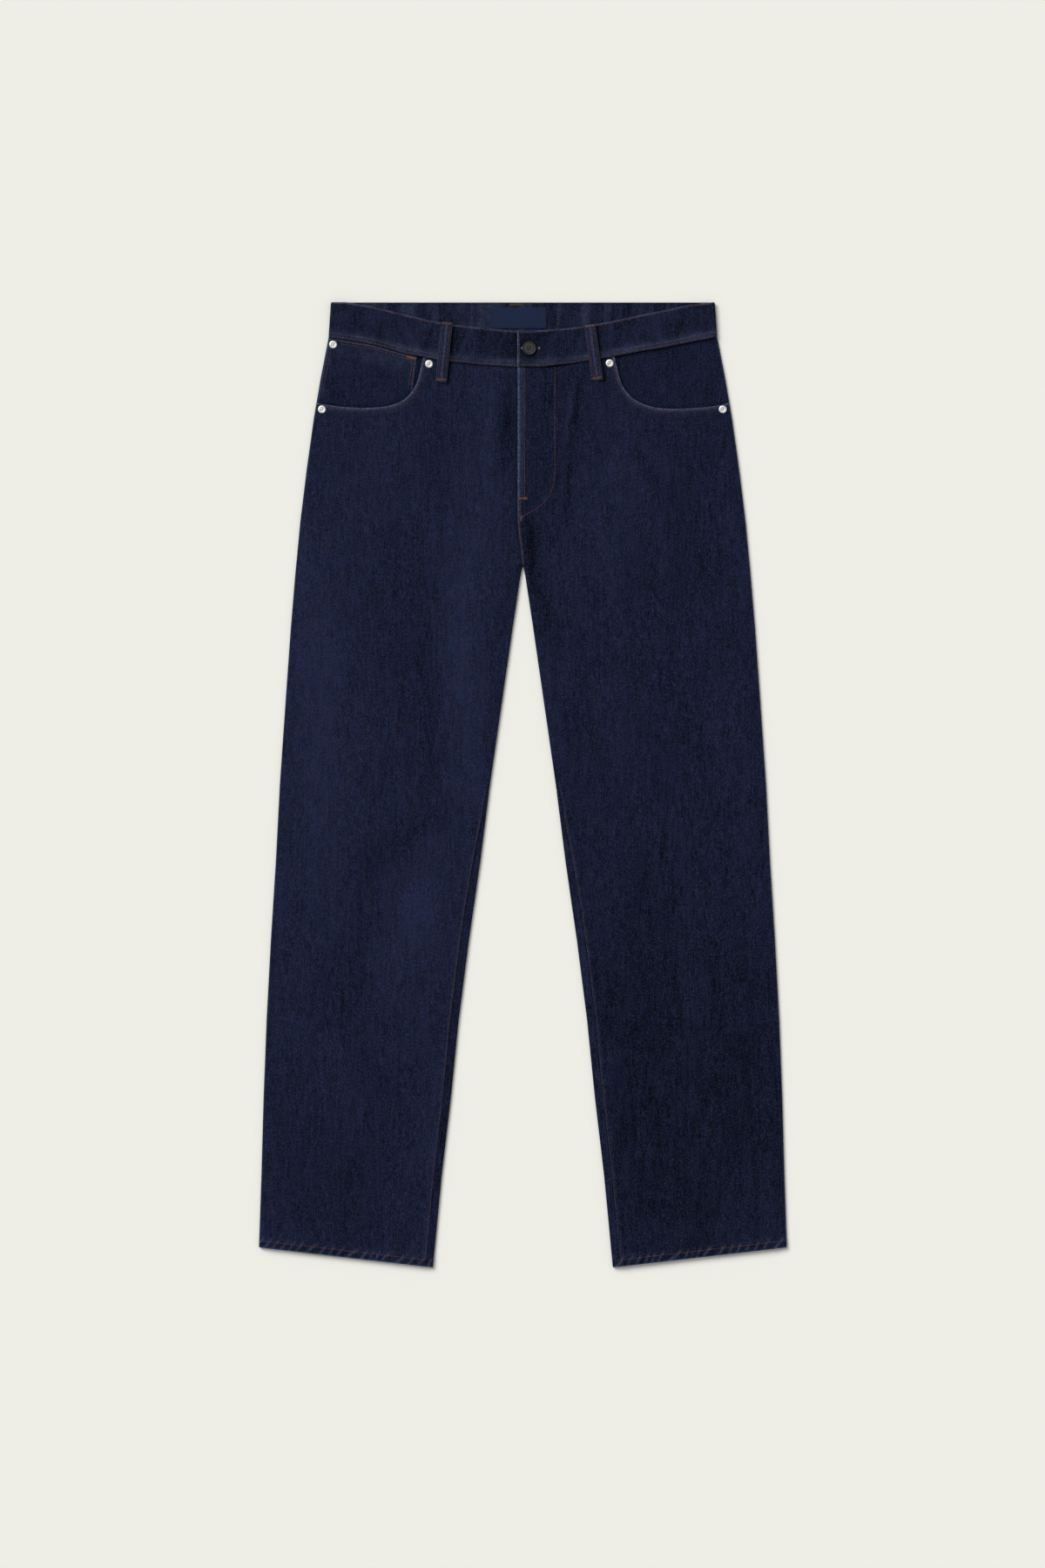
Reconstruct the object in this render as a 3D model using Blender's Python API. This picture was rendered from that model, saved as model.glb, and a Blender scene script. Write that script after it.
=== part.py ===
"""Loose fit jeans lying flat on their back, front up, waist toward +Y.

The cloth is a thin wall everywhere. Each leg is a flattened ring: its front panel is the upper
part of the ring, and its back panel is the lower part, which comes round the inner fold to the
inseam. Sizes are in millimetres and are turned into metres when a mesh is made. Side -1 is the
viewer's left (-X) and side +1 is the viewer's right (+X).
"""

from collections import namedtuple

import bmesh
import bpy
import numpy as np

# Driving sizes, millimetres
MILLIMETRE = 0.001
SEAM_GAP = 0.3
CLOTH = 1.2
FACING_CLOTH = 1.0
HEM_CLOTH = 2.0
HEM_DEPTH = 10.0
HEM_STEP = 1.5
EDGE_HEIGHT = 3.6
HEM_EDGE_HEIGHT = 4.8
EDGE_EASE = 14.0
WAIST_TOP_Y = 553.5
WAIST_LOW_Y = 513.6
CROTCH_Y = 252.0
HEM_OUTER_Y = -530.5
HEM_INNER_Y = -553.5
YOKE_SIDE_Y, YOKE_MIDDLE_Y = 465.0, 438.0
FLY_EDGE_X = -5.9
FLY_LOW_Y = 304.0
FLY_UNDERLAP = 9.0
FLY_UNDERLAP_LOW_Y, FLY_UNDERLAP_EASE = 309.0, 10.0
FLY_LIFT = 1.6
FLY_LIFT_WIDTH, FLY_LIFT_FLAT = 42.0, 8.0
FLY_LIFT_LOW_Y, FLY_LIFT_EASE = 294.0, 13.0
FLY_DIP, FLY_DIP_REACH = 0.5, 6.0
RISE_SEAM_X = -1.35

BAND_CLOTH = 2.8
BAND_FRONT_Z = 3.6
BAND_OVERLAP_Z = 6.2
BAND_TOP_HALF = 220.4
BAND_LOW_HALF = 223.0
BAND_END_X = -6.4
BAND_UNDER_END_X = 28.0
BAND_DIP, BAND_DIP_X, BAND_DIP_EASE = 0.5, -30.0, 24.0
BAND_LIFT_X, BAND_LIFT_EASE = 60.0, 28.0
BAND_RIM = ((0.0, 0.25), (0.05, 0.0), (0.95, 0.0), (1.0, 0.25))
BAND_FOLD_ANGLES = (90, 54, 18, -18, -54, -90)
BAND_BACK_XS = (-195.0, -150.0, -50.0, 45.0, 150.0, 195.0)
BAND_RECESS_NEAR, BAND_RECESS_FAR = 2.0, 9.0

LOOP_WIDTH = 12.8
LOOP_CLOTH = 1.6
LOOP_RISE = 0.8
LOOP_RIM = ((-1.0, -0.3), (-0.6, 0.0), (0.6, 0.0), (1.0, -0.3))
LOOP_TACK, LOOP_RISEN, LOOP_TOP_END = 5.0, 12.0, 32.0
LOOP_LOW_START, LOOP_LOW_END, LOOP_LOW_RISE = 22.0, 14.0, 0.7
BACK_LOOP_CLOTH = 1.2
BACK_LOOP_XS = (-92.0, -8.0, 92.0)
BACK_LOOP_NAMES = ("left", "middle", "right")
BACK_LOOP_LOW_Y = 495.5
PAD_LIFT = 1.5
PAD_FLAT, LOOP_PAD_EASE = 2.0, 7.0
POCKET_PAD = (0.25, 0.84, 258.0, 409.0)
POCKET_PAD_FLAT, POCKET_PAD_EASE = 6.0, 9.0

BUTTON_X, BUTTON_Y, BUTTON_RADIUS = 7.3, 500.5, 7.75
LABEL_LEFT, LABEL_RIGHT, LABEL_LOW, LABEL_TOP = -37.4, 27.1, 523.5, 547.5
LABEL_CLOTH = 1.0

# Half-widths of the garment down its length
Outline = namedtuple("Outline", "y outer inner")
OUTLINE = [
    Outline(553.5, 220.4, 0.0),
    Outline(513.3, 223.0, 0.0),
    Outline(465.0, 232.4, 0.0),
    Outline(420.5, 240.0, 0.0),
    Outline(360.5, 248.4, 0.0),
    Outline(300.5, 255.7, 0.0),
    Outline(252.0, 260.3, 0.3),
    Outline(240.0, 261.4, 2.7),
    Outline(180.5, 266.4, 11.7),
    Outline(90.5, 272.8, 24.7),
    Outline(0.5, 279.0, 37.7),
    Outline(-89.5, 283.7, 49.1),
    Outline(-179.5, 289.4, 62.1),
    Outline(-269.5, 294.2, 73.6),
    Outline(-359.5, 297.7, 82.7),
    Outline(-449.5, 300.2, 93.3),
    Outline(-530.5, 303.0, 101.0),
    Outline(-553.5, 303.0, 103.2),
]

# How far the inseam lies from the inner fold, on the front
InseamRow = namedtuple("InseamRow", "y offset")
INSEAM = [
    InseamRow(252.0, 0.0),
    InseamRow(20.0, 0.0),
    InseamRow(-30.0, 3.6),
    InseamRow(-90.0, 7.5),
    InseamRow(-150.0, 9.2),
    InseamRow(-553.5, 7.8),
]

# Height of the front's outer face over the floor, away from its folds and edges
HeightRow = namedtuple("HeightRow", "y height")
FRONT_HEIGHT = [
    HeightRow(553.5, 6.2),
    HeightRow(455.0, 6.4),
    HeightRow(420.0, 6.4),
    HeightRow(385.0, 5.4),
    HeightRow(252.0, 4.9),
    HeightRow(100.0, 4.7),
    HeightRow(-560.0, 4.7),
]

# The largest soft folds of the front, each along a line: rise is negative in a trough
Fold = namedtuple("Fold", "x0 y0 x1 y1 width rise")
FOLDS = [
    Fold(-105, 235, -110, 20, 22, -1.1),
    Fold(-110, 20, -150, -90, 24, -1.1),
    Fold(-150, -90, -205, -260, 26, -1.0),
    Fold(-205, -260, -262, -420, 26, -0.9),
    Fold(-57, 215, -66, 10, 24, 1.0),
    Fold(-118, -110, -140, -280, 26, 1.1),
    Fold(-215, 180, -225, -60, 28, 0.6),
    Fold(-52, 330, -56, 245, 24, 0.8),
    Fold(60, 455, 52, 300, 13, -1.3),
    Fold(40, 455, 36, 330, 10, 0.7),
    Fold(-20, 460, -20, 360, 9, -0.7),
    Fold(-36, 460, -36, 350, 9, 0.6),
    Fold(12, 300, 20, 170, 12, -0.9),
    Fold(150, 200, 165, -40, 30, 0.6),
    Fold(110, 60, 190, -210, 26, -0.7),
    Fold(215, -120, 180, -420, 30, 0.6),
    Fold(120, -260, 150, -470, 24, -0.5),
]

# Edges of the pocket mouths, from the side seam up to the waist seam, x away from the middle
MouthPoint = namedtuple("MouthPoint", "x y")
MOUTHS = {
    -1: [
        MouthPoint(236.9, 438.3),
        MouthPoint(226.0, 436.0),
        MouthPoint(200.0, 432.8),
        MouthPoint(170.0, 432.6),
        MouthPoint(147.0, 436.5),
        MouthPoint(131.0, 446.5),
        MouthPoint(121.0, 463.0),
        MouthPoint(114.4, 489.6),
    ],
    1: [
        MouthPoint(236.9, 438.3),
        MouthPoint(222.0, 434.6),
        MouthPoint(196.0, 432.0),
        MouthPoint(166.0, 431.2),
        MouthPoint(143.0, 434.8),
        MouthPoint(124.0, 445.0),
        MouthPoint(112.4, 462.0),
        MouthPoint(105.0, 490.0),
    ],
}
MOUTH_SIDE_Y = 438.3
FACING_INNER_XS = {-1: 106.0, 1: 97.0}
FACING_INSETS = (4.0, 11.0, 20.0, 34.0, 55.0, 76.0, 92.0, 104.0, 112.0)
FACING_ROWS = (0.0, 0.35, 0.7, 1.0)
FACING_TUCK, FACING_TUCK_START, FACING_TUCK_EASE = 13.0, 16.0, 18.0
FACING_HIGHEST_Y = 460.0
TUCK_GAP = 0.6
COIN_EDGE_INSET = 2.4
COIN_RIGHT_TOP_X, COIN_RIGHT_LOW_X = -121.8, -128.6
COIN_DROP = 1.6
COIN_COLUMNS = (0.0, 0.08, 0.2, 0.36, 0.55, 0.75, 0.9, 1.0)
COIN_ROWS = (0.0, 0.5, 1.0)
COIN_TUCK, COIN_TUCK_START, COIN_TUCK_EASE = 10.0, 0.14, 0.18
COIN_HIGHEST_Y = 452.0

# Top and lower edges of the waistband's front half
BandEdge = namedtuple("BandEdge", "x top low")
BAND_FRONT = [
    BandEdge(-223.0, 553.5, 513.6),
    BandEdge(-205.0, 553.5, 510.6),
    BandEdge(-174.0, 548.6, 505.5),
    BandEdge(-133.0, 538.6, 493.9),
    BandEdge(-114.4, 534.2, 490.7),
    BandEdge(-90.0, 529.0, 486.2),
    BandEdge(-56.0, 525.0, 482.4),
    BandEdge(-20.0, 521.6, 480.2),
    BandEdge(-6.0, 520.4, 479.5),
    BandEdge(20.0, 520.8, 479.4),
    BandEdge(56.0, 524.2, 483.3),
    BandEdge(90.0, 529.2, 488.8),
    BandEdge(105.0, 532.2, 491.6),
    BandEdge(133.0, 538.0, 497.0),
    BandEdge(162.0, 543.9, 501.6),
    BandEdge(195.0, 551.0, 508.5),
    BandEdge(223.0, 553.5, 513.6),
]
WAIST_XS = (90.0, 56.0, 20.0)
LEFT_BAND_XS = (
    BAND_UNDER_END_X, 20.0, BAND_END_X, -20.0, -56.0, -90.0, -114.4, -133.0, -174.0, -205.0
)
RIGHT_BAND_XS = (
    205.0, 195.0, 162.0, 133.0, 105.0, 90.0, 73.0, 56.0, 44.0, 32.0, 20.0, 7.0, BAND_END_X
)

# Centre line of each front belt loop, from above the band down to the panel
FrontLoop = namedtuple("FrontLoop", "name top_x top_y low_x low_y")
FRONT_LOOPS = [
    FrontLoop("belt_loop_front_left", -87.0, 530.4, -93.8, 462.0),
    FrontLoop("belt_loop_front_right", 76.6, 527.6, 85.7, 464.0),
]

# Back pocket corners as share of the half-width from the middle, and height
PocketCorner = namedtuple("PocketCorner", "share y")
BACK_POCKET = [
    PocketCorner(0.27, 404.0),
    PocketCorner(0.83, 409.0),
    PocketCorner(0.79, 284.0),
    PocketCorner(0.55, 258.0),
    PocketCorner(0.30, 279.0),
]

RivetPlace = namedtuple("RivetPlace", "x y radius")
RIVETS = [
    RivetPlace(-217.6, 505.0, 4.6),
    RivetPlace(-230.4, 430.6, 4.6),
    RivetPlace(-107.6, 482.6, 4.6),
    RivetPlace(99.6, 483.4, 4.6),
    RivetPlace(229.2, 430.6, 4.6),
]

COIN_RIVET = 1

# Shares across a panel, from the outer fold to the inner edge
LEG_SHARES = (0.0, 0.06, 0.16, 0.28, 0.39, 0.49, 0.59, 0.69, 0.79, 0.88, 0.95)
UPPER_ROWS = (0.0, 0.06, 0.16, 0.29, 0.43, 0.57, 0.69, 0.755, 0.81, 0.89, 1.0)
LEG_ROWS = 21
LEG_START_SHARES = (0.015, 0.045, 0.085)
LEG_EVEN_START = 0.13
LEG_HEM_CLEAR = 0.01
BACK_SHARES = (0.02, 0.1, 0.2, 0.26, 0.4, 0.55, 0.7, 0.84, 0.89)
BACK_INNER_INSET, BACK_OUTER_INSET = 3.0, 4.0
BACK_MIDDLE_STEPS = (0.0, 0.5, 1.0, 1.5, 2.0, 2.5)
EDGE_STEPS = (3.0, 1.5, 0.0)
INSEAM_STEPS = (3.0, 1.5, SEAM_GAP / 2)
OUTER_FOLD = (0, 45, 90)
UNDER_FOLD = (-90, -45, 0)
INNER_FOLD_TO_SEAM = (0, -18, -36, -54, -72, -90)
INNER_FOLD_WHOLE = (90, 45, 0, -45, -90)

# Outer and middle y of the back panel's rows above the crotch, and of the yoke's rows
BACK_UPPER_ROWS = (
    (YOKE_SIDE_Y - SEAM_GAP / 2, YOKE_MIDDLE_Y - SEAM_GAP / 2),
    (441.0, 424.0),
    (423.0, 418.0),
    (412.0, 407.0),
    (370.0, 368.0),
    (325.0, 324.0),
    (285.0, 284.0),
    (CROTCH_Y, CROTCH_Y),
)
YOKE_ROWS = (
    (WAIST_LOW_Y - SEAM_GAP, WAIST_LOW_Y - SEAM_GAP),
    (494.0, 494.0),
    (486.0, 484.0),
    (YOKE_SIDE_Y + SEAM_GAP / 2, YOKE_MIDDLE_Y + SEAM_GAP / 2),
)
YOKE_XS = (0.15, 2.5, 6.0, 10.0, 18.0, 28.0, 55.0, 78.0, 83.0, 101.0, 108.0, 145.0, 185.0)

# Profiles of the metal pieces as share of the radius, and height
BUTTON_PROFILE = (
    (0.0, 3.3), (0.17, 3.0), (0.21, 2.5), (0.66, 2.3), (0.78, 3.4),
    (0.9, 3.5), (1.0, 2.6), (1.0, 1.6), (0.8, 0.5), (0.5, 0.0), (0.0, 0.0),
)
RIVET_PROFILE = (
    (0.0, 1.5), (0.18, 1.3), (0.3, 0.9), (0.5, 1.3), (0.78, 1.2), (1.0, 0.4), (1.0, 0.0), (0.0, 0.0),
)
BUTTON_TURNS, RIVET_TURNS, RIVET_SEAT_TURNS = 24, 16, 12
SHARP_DEGREES = 50.0

FINISHES = {
    "denim": ((0.011, 0.013, 0.030), 0.85, 0.0),
    "denim_facing": ((0.010, 0.012, 0.031), 0.85, 0.0),
    "denim_band": ((0.012, 0.014, 0.032), 0.85, 0.0),
    "label_cloth": ((0.013, 0.021, 0.051), 0.8, 0.0),
    "dark_metal": ((0.020, 0.020, 0.021), 0.35, 1.0),
    "bright_metal": ((0.62, 0.61, 0.58), 0.3, 1.0),
}


def mix(a, b, t):
    """The value t of the way from a to b."""
    return a + (b - a) * t


def ease(t):
    """Smooth step from 0 to 1."""
    t = np.clip(t, 0.0, 1.0)
    return t * t * (3.0 - 2.0 * t)


def read(table, column, key, at):
    """A table's column at a place, between its rows."""
    rows = sorted(table, key=lambda row: getattr(row, key))
    keys = [getattr(row, key) for row in rows]
    return float(np.interp(at, keys, [getattr(row, column) for row in rows]))


def outer_at(y):
    """Half-width of the garment."""
    return read(OUTLINE, "outer", "y", y)


def inner_at(y):
    """Distance of a leg's inner fold from the middle."""
    return read(OUTLINE, "inner", "y", y)


def rise_x(y):
    """X of the fly edge and of the front rise seam below it."""
    return mix(FLY_EDGE_X, RISE_SEAM_X, ease((FLY_LOW_Y - y) / (FLY_LOW_Y - CROTCH_Y)))


def front_centre(side, y):
    """X of a front panel's edge at the fly and the rise seam."""
    if side > 0:
        return rise_x(y)
    under = ease((y - FLY_UNDERLAP_LOW_Y) / FLY_UNDERLAP_EASE)
    return mix(rise_x(y) - SEAM_GAP, rise_x(y) + FLY_UNDERLAP, under)


def fold_rise(x, y):
    """Sum of the soft folds at a place."""
    total = 0.0
    for fold in FOLDS:
        start = np.array((fold.x0, fold.y0), float)
        along = np.array((fold.x1, fold.y1), float) - start
        share = np.clip(np.dot((x, y) - start, along) / np.dot(along, along), 0.0, 1.0)
        away = np.linalg.norm((x, y) - start - along * share)
        fade = 0.45 + 0.55 * np.sin(np.pi * share)
        total += fold.rise * fade * np.exp(-((away / fold.width) ** 2))
    return total


def front_height(side, x, y):
    """Height of a front panel's outer face over the floor."""
    height = read(FRONT_HEIGHT, "height", "y", y) + fold_rise(x, y)
    edge = abs(outer_at(y) - abs(x))
    if y < CROTCH_Y:
        edge = min(edge, abs(abs(x) - inner_at(y)))
    height = mix(EDGE_HEIGHT, height, ease(edge / EDGE_EASE))
    above = ease((y - FLY_LIFT_LOW_Y) / FLY_LIFT_EASE)
    if side > 0:
        height += FLY_LIFT * above * ease((FLY_LIFT_WIDTH - x) / (FLY_LIFT_WIDTH - FLY_LIFT_FLAT))
    elif x > FLY_EDGE_X - FLY_DIP_REACH:
        height -= FLY_DIP * above
    return height


def pad_share(x, y, x0, x1, y0, y1, margin):
    """1 over a flat pad under the cloth and close round it, easing to 0 past a margin."""
    beyond = max(x0 - x, x - x1, y0 - y, y - y1, 0.0)
    return 1.0 - ease((beyond - PAD_FLAT) / margin)


def under_lift(x, y):
    """How far the back cloth is lifted off the floor by the pockets and loops under it."""
    half = LOOP_WIDTH / 2
    shares = [
        pad_share(x, y, loop - half, loop + half, BACK_LOOP_LOW_Y, WAIST_TOP_Y, LOOP_PAD_EASE)
        for loop in BACK_LOOP_XS
    ]
    share = abs(x) / outer_at(y)
    inner, outer, low, top = POCKET_PAD
    outward = max(inner - share, share - outer, 0.0) * outer_at(y)
    beyond = max(outward, y - top, low - y)
    shares.append(1.0 - ease((beyond - POCKET_PAD_FLAT) / POCKET_PAD_EASE))
    return PAD_LIFT * max(shares)


def closed_mesh(name, points, faces, finish):
    """One object from points in millimetres and faces, with its faces turned outward."""
    mesh = bpy.data.meshes.new(name)
    mesh.from_pydata([tuple(c * MILLIMETRE for c in point) for point in points], [], faces)
    work = bmesh.new()
    work.from_mesh(mesh)
    bmesh.ops.recalc_face_normals(work, faces=work.faces)
    work.to_mesh(mesh)
    work.free()
    mesh.shade_smooth()
    mesh.set_sharp_from_angle(angle=np.radians(SHARP_DEGREES))
    piece = bpy.data.objects.new(name, mesh)
    bpy.context.scene.collection.objects.link(piece)
    colour, roughness, metallic = FINISHES[finish]
    material = bpy.data.materials.new(name + "_" + finish)
    material.use_nodes = True
    shader = material.node_tree.nodes["Principled BSDF"]
    shader.inputs["Base Color"].default_value = (*colour, 1.0)
    shader.inputs["Roughness"].default_value = roughness
    shader.inputs["Metallic"].default_value = metallic
    mesh.materials.append(material)
    return piece


def wall(name, rows, finish, loop_across=False):
    """A closed sheet from rows of (outer point, inner point) pairs.

    With loop_across, each row is a closed ring, and the first and last rows are capped.
    """
    down, across = len(rows), len(rows[0])
    if loop_across:
        points = [point for row in rows for point in row]
        faces = [
            (r * across + c, r * across + (c + 1) % across,
             (r + 1) * across + (c + 1) % across, (r + 1) * across + c)
            for r in range(down - 1)
            for c in range(across)
        ]
        faces.append(tuple(range(across)))
        faces.append(tuple((down - 1) * across + c for c in reversed(range(across))))
        return closed_mesh(name, points, faces, finish)
    points = [pair[0] for row in rows for pair in row]
    points += [pair[1] for row in rows for pair in row]
    inner = down * across
    faces = []
    for r in range(down - 1):
        for c in range(across - 1):
            corner = r * across + c
            quad = (corner, corner + 1, corner + across + 1, corner + across)
            faces.append(quad)
            faces.append(tuple(inner + v for v in reversed(quad)))
    border = [c for c in range(across)]
    border += [r * across + across - 1 for r in range(1, down)]
    border += [(down - 1) * across + c for c in reversed(range(across - 1))]
    border += [r * across for r in reversed(range(1, down - 1))]
    for a, b in zip(border, border[1:] + border[:1]):
        faces.append((b, a, inner + a, inner + b))
    return closed_mesh(name, points, faces, finish)


def plate(name, outline, low, high, finish):
    """A flat plate from its outline."""
    count = len(outline)
    points = [(x, y, low) for x, y in outline] + [(x, y, high) for x, y in outline]
    faces = [tuple(range(count)), tuple(count + i for i in reversed(range(count)))]
    faces += [(i, i + count, (i + 1) % count + count, (i + 1) % count) for i in range(count)]
    return closed_mesh(name, points, faces, finish)


def turned(name, profile, place, turns, finish):
    """A round piece from (radius, height) points, from the middle of its top to that of its foot."""
    x, y, z = place
    rings = profile[1:-1]
    points = [(x, y, z + profile[0][1])]
    for radius, height in rings:
        for k in range(turns):
            angle = 2.0 * np.pi * k / turns
            points.append((x + radius * np.cos(angle), y + radius * np.sin(angle), z + height))
    points.append((x, y, z + profile[-1][1]))
    last = len(points) - 1
    faces = [(0, 1 + k, 1 + (k + 1) % turns) for k in range(turns)]
    for ring in range(len(rings) - 1):
        start = 1 + ring * turns
        for k in range(turns):
            after = (k + 1) % turns
            faces.append((start + k, start + turns + k, start + turns + after, start + after))
    start = 1 + (len(rings) - 1) * turns
    faces += [(last, start + (k + 1) % turns, start + k) for k in range(turns)]
    return closed_mesh(name, points, faces, finish)


def fold_pair(side, edge_x, y, outward, angle, cloth, height):
    """Outer and inner points round a folded edge: angle 90 is its top, 0 its edge, -90 its foot."""
    radius = height / 2
    turn = np.radians(angle)
    pair = []
    for reach in (radius, radius - cloth):
        x = edge_x - outward * (radius - reach * np.cos(turn))
        z = radius + reach * np.sin(turn)
        if angle == 0:
            z = radius
        pair.append((side * x, y, z))
    return pair


def seam_fold(side, edge_x, y, outward, angles, cloth, height, above):
    """Pairs round a folded edge that ends in a seam: its end at angle 0 keeps clear of the seam."""
    pairs = []
    for angle in angles:
        pair = fold_pair(side, edge_x, y, outward, angle, cloth, height)
        rise = above * SEAM_GAP / 2 if angle == 0 else 0.0
        pairs.append(tuple((px, py, pz + rise) for px, py, pz in pair))
    return pairs


def leg_rows():
    """(outer y, inner y, cloth, edge height) of each section from below the crotch to the hem."""
    rows = []
    shares = list(LEG_START_SHARES)
    shares += [mix(LEG_EVEN_START, 1.0, k / LEG_ROWS) for k in range(LEG_ROWS + 1)]
    length = CROTCH_Y - HEM_OUTER_Y
    hem = 1.0 - HEM_DEPTH / length
    step = hem - HEM_STEP / length
    shares = [share for share in shares if share < step - LEG_HEM_CLEAR]
    for share in shares + [step, hem, 1.0]:
        is_hem = share >= hem
        rows.append((
            mix(CROTCH_Y, HEM_OUTER_Y, share),
            mix(CROTCH_Y, HEM_INNER_Y, share),
            HEM_CLOTH if is_hem else CLOTH,
            HEM_EDGE_HEIGHT if is_hem else EDGE_HEIGHT,
        ))
    return rows


def front_upper_row(side, share):
    """One row of a front panel between its top edge and the crotch."""
    top = [(point.x, point.y) for point in MOUTHS[side][:-1]]
    waist_centre = side * front_centre(side, WAIST_LOW_Y)
    for x in (MOUTHS[side][-1].x,) + WAIST_XS + (waist_centre,):
        top.append((x, read(BAND_FRONT, "low", "x", side * x) - SEAM_GAP))
    row = []
    for k, (top_x, top_y) in enumerate(top):
        y = mix(top_y, CROTCH_Y, share)
        centre = side * front_centre(side, y)
        top_centre = side * front_centre(side, top_y)
        top_share = (outer_at(top_y) - top_x) / (outer_at(top_y) - top_centre)
        leg_share = (LEG_SHARES + (1.0,))[k]
        across = mix(top_share, leg_share, ease(share))
        x = mix(outer_at(y), centre, across)
        row.append((x, y))
    outer_y = row[0][1]
    pairs = seam_fold(side, outer_at(outer_y), outer_y, 1, OUTER_FOLD, CLOTH, EDGE_HEIGHT, 1)
    flat = row[1:-1]
    end_x, end_y = row[-1]
    flat += [(end_x + step, end_y) for step in EDGE_STEPS]
    for x, y in flat:
        z = front_height(side, side * x, y)
        pairs.append(((side * x, y, z), (side * x, y, z - CLOTH)))
    return pairs


def front_leg_row(side, outer_y, inner_y, cloth, edge_height):
    """One row of a front panel across the leg."""
    outer_x, inner_x = outer_at(outer_y), inner_at(inner_y)
    bump = edge_height - EDGE_HEIGHT
    radius = edge_height / 2
    seam = read(INSEAM, "offset", "y", inner_y)
    pairs = seam_fold(side, outer_x, outer_y, 1, OUTER_FOLD, cloth, edge_height, 1)
    places = [mix(outer_x, inner_x, share) for share in LEG_SHARES[1:]]
    if seam > radius:
        places += [inner_x + seam + step for step in INSEAM_STEPS]
    for x in places:
        y = mix(outer_y, inner_y, (outer_x - x) / (outer_x - inner_x))
        z = front_height(side, side * x, y) + bump
        pairs.append(((side * x, y, z), (side * x, y, z - cloth)))
    if seam <= radius:
        angles = tuple(reversed(OUTER_FOLD))
        pairs += seam_fold(side, inner_x, inner_y, -1, angles, cloth, edge_height, 1)
    return pairs


def front_panel(side, name):
    """A front leg panel, from the waist seam and pocket mouth to the hem."""
    rows = [front_upper_row(side, share) for share in UPPER_ROWS]
    rows += [front_leg_row(side, *row) for row in leg_rows()]
    return wall(name, rows, "denim")


def back_row(side, outer_y, inner_y, cloth, edge_height, is_leg):
    """One row of a back panel or yoke, from its inner edge to the outer fold."""
    outer_x = outer_at(outer_y)
    inner_x = inner_at(inner_y) if is_leg else SEAM_GAP / 2
    radius = edge_height / 2
    bump = edge_height - EDGE_HEIGHT
    seam = read(INSEAM, "offset", "y", inner_y) if is_leg else 0.0
    pairs = []
    if not is_leg:
        for step in BACK_MIDDLE_STEPS:
            lift = under_lift(side * (inner_x + step), inner_y)
            pairs.append((
                (side * (inner_x + step), inner_y, lift),
                (side * (inner_x + step), inner_y, lift + cloth),
            ))
    elif seam > radius:
        start = inner_x + seam - SEAM_GAP / 2
        start_y = mix(inner_y, outer_y, (start - inner_x) / (outer_x - inner_x))
        z = front_height(side, side * start, start_y) + bump
        pairs.append(((side * start, start_y, z), (side * start, start_y, z - cloth)))
        for angle in INNER_FOLD_WHOLE:
            pairs.append(tuple(fold_pair(side, inner_x, inner_y, -1, angle, cloth, edge_height)))
    else:
        pairs += seam_fold(side, inner_x, inner_y, -1, INNER_FOLD_TO_SEAM, cloth, edge_height, -1)
    for share in BACK_SHARES:
        x = mix(inner_x + BACK_INNER_INSET, outer_x - BACK_OUTER_INSET, share)
        y = mix(inner_y, outer_y, (x - inner_x) / (outer_x - inner_x))
        lift = under_lift(side * x, y)
        pairs.append(((side * x, y, lift), (side * x, y, lift + cloth)))
    pairs += seam_fold(side, outer_x, outer_y, 1, UNDER_FOLD, cloth, edge_height, -1)
    return pairs


def back_panel(side, name):
    """A back leg panel, from the yoke seam to the hem."""
    rows = [back_row(side, *row, CLOTH, EDGE_HEIGHT, False) for row in BACK_UPPER_ROWS]
    rows += [back_row(side, *row, True) for row in leg_rows()]
    return wall(name, rows, "denim")


def yoke(side, name):
    """A back yoke, between the waist seam and the yoke seam."""
    rows = []
    for outer_y, inner_y in YOKE_ROWS:
        outer_x = outer_at(outer_y)
        row = []
        for x in YOKE_XS:
            y = mix(inner_y, outer_y, x / outer_x)
            lift = under_lift(side * x, y)
            row.append(((side * x, y, lift), (side * x, y, lift + CLOTH)))
        row += seam_fold(side, outer_x, outer_y, 1, UNDER_FOLD, CLOTH, EDGE_HEIGHT, -1)
        rows.append(row)
    return wall(name, rows, "denim")


def pocket_facing(side, name):
    """The cloth that shows in a pocket mouth, tucked under the front panel."""
    inner_x = FACING_INNER_XS[side]
    low_span = outer_at(MOUTH_SIDE_Y) - inner_x
    top_span = BAND_LOW_HALF - inner_x
    rows = []
    for down in FACING_ROWS:
        outer_y = mix(WAIST_LOW_Y - SEAM_GAP, MOUTH_SIDE_Y + SEAM_GAP, down)
        row = seam_fold(
            side, outer_at(outer_y), outer_y, 1, OUTER_FOLD, FACING_CLOTH, EDGE_HEIGHT, 1
        )
        for inset in FACING_INSETS:
            share = inset / FACING_INSETS[-1]
            top_x = BAND_LOW_HALF - top_span * share
            top_y = read(BAND_FRONT, "low", "x", side * top_x) - SEAM_GAP
            low_x = outer_at(MOUTH_SIDE_Y) - low_span * share
            tuck = FACING_TUCK * ease((inset - FACING_TUCK_START) / FACING_TUCK_EASE) - TUCK_GAP
            low_y = min(read(MOUTHS[side], "y", "x", low_x), FACING_HIGHEST_Y) - tuck
            x, y = mix(top_x, low_x, down), mix(top_y, low_y, down)
            row.append(((side * x, y, EDGE_HEIGHT), (side * x, y, EDGE_HEIGHT - FACING_CLOTH)))
        rows.append(row)
    return wall(name, rows, "denim_facing")


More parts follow.
